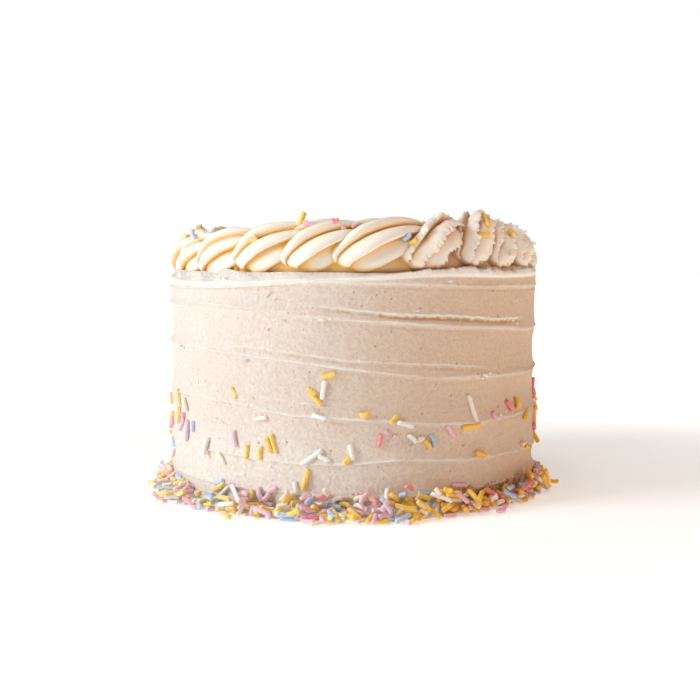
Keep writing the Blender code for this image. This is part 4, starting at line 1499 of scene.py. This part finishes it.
def scatter_strands(box, heap_count):
    side = surface_of("iced_cake_skin")
    piping = surface_of("piped_shells_smooth", "piped_shells_torn", "piping_bed", "iced_cake_skin")
    for strand in SIDE_STRANDS:
        box.press_seen(side, *strand)
    for azimuth, height, lean, length, colour in EDGE_STRANDS:
        side_strand(box, side, math.radians(azimuth), height * MM, math.radians(lean), length * MM, colour)
    for strand in BORDER_STRANDS:
        box.press_seen(piping, *strand)
    for strand in STANDING_STRANDS:
        box.stand_seen(piping, *strand)
    draw = box.draw
    for n in range(BACK_SIDE_STRANDS):
        azimuth = math.radians(between(100, 262, (n + draw.random()) / BACK_SIDE_STRANDS))
        height = between(11, 52, draw.random() ** 1.7) * MM
        side_strand(box, side, azimuth, height, draw.uniform(-1.2, 1.2), box.length(), None)
    for n in range(BACK_BORDER_STRANDS):
        azimuth = math.radians(between(105, 226, (n + draw.random()) / BACK_BORDER_STRANDS))
        box.drop(piping, azimuth, (SHELL_RING + draw.uniform(-8, 7)) * MM)
    for n in range(TOP_STRANDS):
        share = (n + 0.5) / TOP_STRANDS
        azimuth = GOLDEN_ANGLE * n + draw.uniform(-0.3, 0.3)
        box.drop(piping, azimuth, 62 * MM * share ** 0.42, PRESSED_IN_TOP)
    heap_strands(box, heap_count)


def side_strand(box, side, azimuth, height, lean, length, colour):
    right = around(azimuth + TURN / 4, 1, 0)
    along = Vector((0, 0, 1)) * math.cos(lean) + right * math.sin(lean)
    box.press(side, around(azimuth, WELL_ABOVE, height), around(azimuth, -1, 0), along, length, colour)


class CAKE_OT_sugar_strands(Operator):
    """Scatter the sugar strands over the side, the piping, the top and the foot"""

    bl_idname = "cake.sugar_strands"
    bl_label = "Sugar strands"

    def execute(self, context):
        strands = context.scene.cake_strands
        box = StrandBox(strands.thickness)
        scatter_strands(box, strands.heap_count)
        shapes = bpy.data.collections.new("strand_shapes")
        for name, bow, kink in STRAND_SHAPES:
            shape = strand_shape(name, bow, kink)
            bpy.context.scene.collection.objects.unlink(shape)
            shapes.objects.link(shape)
        tree = strand_tree()
        for colour, laid in box.by_colour.items():
            material = sugar_material(f"sugar_{colour}", tuple(getattr(strands, colour)))
            piece = strand_piece(colour, laid, tree, shapes, material, strands.thickness)
            dress(piece, material, "foot_strands")
        for shape in list(shapes.objects):
            bpy.data.objects.remove(shape, do_unlink=True)
        bpy.data.collections.remove(shapes)
        return {"FINISHED"}


# Stage

LIGHTS = (  # name, place and width in metres, colour
    ("key", (-1.45, -0.55, 0.75), 0.8, (0.90, 0.96, 1.0)),
    ("fill", (1.35, -0.42, 0.35), 1.2, (1.0, 0.58, 0.32)),
    ("top", (-0.1, -0.25, 1.5), 0.9, (1.0, 0.95, 0.90)),
)
LIGHTS_AIM = (0, 0, 0.05)
FLOOR_HALF = 3000
FLOOR_LEVEL = -0.2


def area_light(name, place, target, size, power, colour):
    light = bpy.data.lights.new(name, "AREA")
    light.shape = "DISK"
    light.size = size
    light.energy = power
    light.color = colour
    made = bpy.data.objects.new(name, light)
    made.location = place
    made.rotation_euler = (Vector(target) - Vector(place)).to_track_quat("-Z", "Y").to_euler()
    bpy.context.scene.collection.objects.link(made)


def floor_material():
    nodes = Nodes("studio_floor")
    faint = nodes.span(nodes.noise(300.0, 2.0), 0.3, 0.7)
    colour = nodes.mix(faint, (0.90, 0.895, 0.89), (0.885, 0.88, 0.875))
    # away from the cake the floor glows a little, as a lit studio cove does
    glow = nodes.span(nodes.length(nodes.place), 0.085, 0.5, 0.36, 1.0)
    return nodes.surface({"Base Color": colour, "Roughness": 0.7, "Emission Color": (1, 1, 1, 1),
                          "Emission Strength": glow})


class CAKE_OT_stage(Operator):
    """Add the camera, the soft lights and a plain pale floor"""

    bl_idname = "cake.stage"
    bl_label = "Stage"

    def execute(self, context):
        scene = context.scene
        stage = scene.cake_stage
        camera = bpy.data.cameras.new("camera")
        camera.lens = stage.lens
        camera.sensor_width = 36
        camera.clip_start = 0.01
        eye = bpy.data.objects.new("camera", camera)
        eye.location = CAMERA_PLACE
        eye.rotation_euler = Euler((math.pi / 2 - CAMERA_TILT, 0, 0))
        scene.collection.objects.link(eye)
        scene.camera = eye
        for name, place, size, colour in LIGHTS:
            area_light(name, place, LIGHTS_AIM, size, getattr(stage, f"{name}_power"), colour)
        sides = ((-1, -1), (1, -1), (1, 1), (-1, 1))
        corners = [(x * FLOOR_HALF, y * FLOOR_HALF, FLOOR_LEVEL) for x, y in sides]
        floor = mesh_object("floor", corners, [(0, 1, 2, 3)], smooth=False, closed=False)
        floor.data.materials.append(floor_material())
        world = bpy.data.worlds.new("studio")
        scene.world = world
        world.use_nodes = True
        tree = world.node_tree
        light = tree.nodes["Background"]
        light.inputs["Color"].default_value = (1.0, 0.82, 0.66, 1)
        light.inputs["Strength"].default_value = stage.sky
        seen = add_node(tree, "ShaderNodeBackground", {"Color": (1, 1, 1, 1)})
        path = add_node(tree, "ShaderNodeLightPath")
        mix = add_node(tree, "ShaderNodeMixShader", {
            "Fac": path.outputs["Is Camera Ray"], 1: light.outputs["Background"],
            2: seen.outputs["Background"]})
        feed(tree, tree.nodes["World Output"], {"Surface": mix.outputs["Shader"]})
        scene.view_settings.view_transform = "Standard"
        return {"FINISHED"}


class CAKE_PT_panel(Panel):
    """Lists the steps that build the cake"""

    bl_idname = "CAKE_PT_panel"
    bl_label = "Vanilla cake"
    bl_space_type = "VIEW_3D"
    bl_region_type = "UI"
    bl_category = "Cake"

    def draw(self, context):
        for key, kind in SETTINGS.items():
            box = self.layout.box()
            box.label(text=kind.__doc__.strip("."))
            for name in kind.__annotations__:
                box.prop(getattr(context.scene, key), name)
        for step in STEPS:
            self.layout.operator(step.bl_idname)


SETTINGS = {"cake_icing": IcingSettings, "cake_piping": PipingSettings, "cake_strands": StrandSettings,
            "cake_stage": StageSettings}
STEPS = (CAKE_OT_stage, CAKE_OT_iced_drum, CAKE_OT_piped_border, CAKE_OT_foot_smear, CAKE_OT_sugar_strands)
CLASSES = (*SETTINGS.values(), *STEPS, CAKE_PT_panel)


def register():
    for kind in CLASSES:
        bpy.utils.register_class(kind)
    for key, kind in SETTINGS.items():
        setattr(bpy.types.Scene, key, PointerProperty(type=kind))


def unregister():
    for key in SETTINGS:
        delattr(bpy.types.Scene, key)
    for kind in reversed(CLASSES):
        bpy.utils.unregister_class(kind)


def main():
    register()
    bpy.ops.cake.stage()
    bpy.ops.cake.iced_drum()
    bpy.ops.cake.piped_border()
    bpy.ops.cake.foot_smear()
    bpy.ops.cake.sugar_strands()


if __name__ == "__main__":
    main()
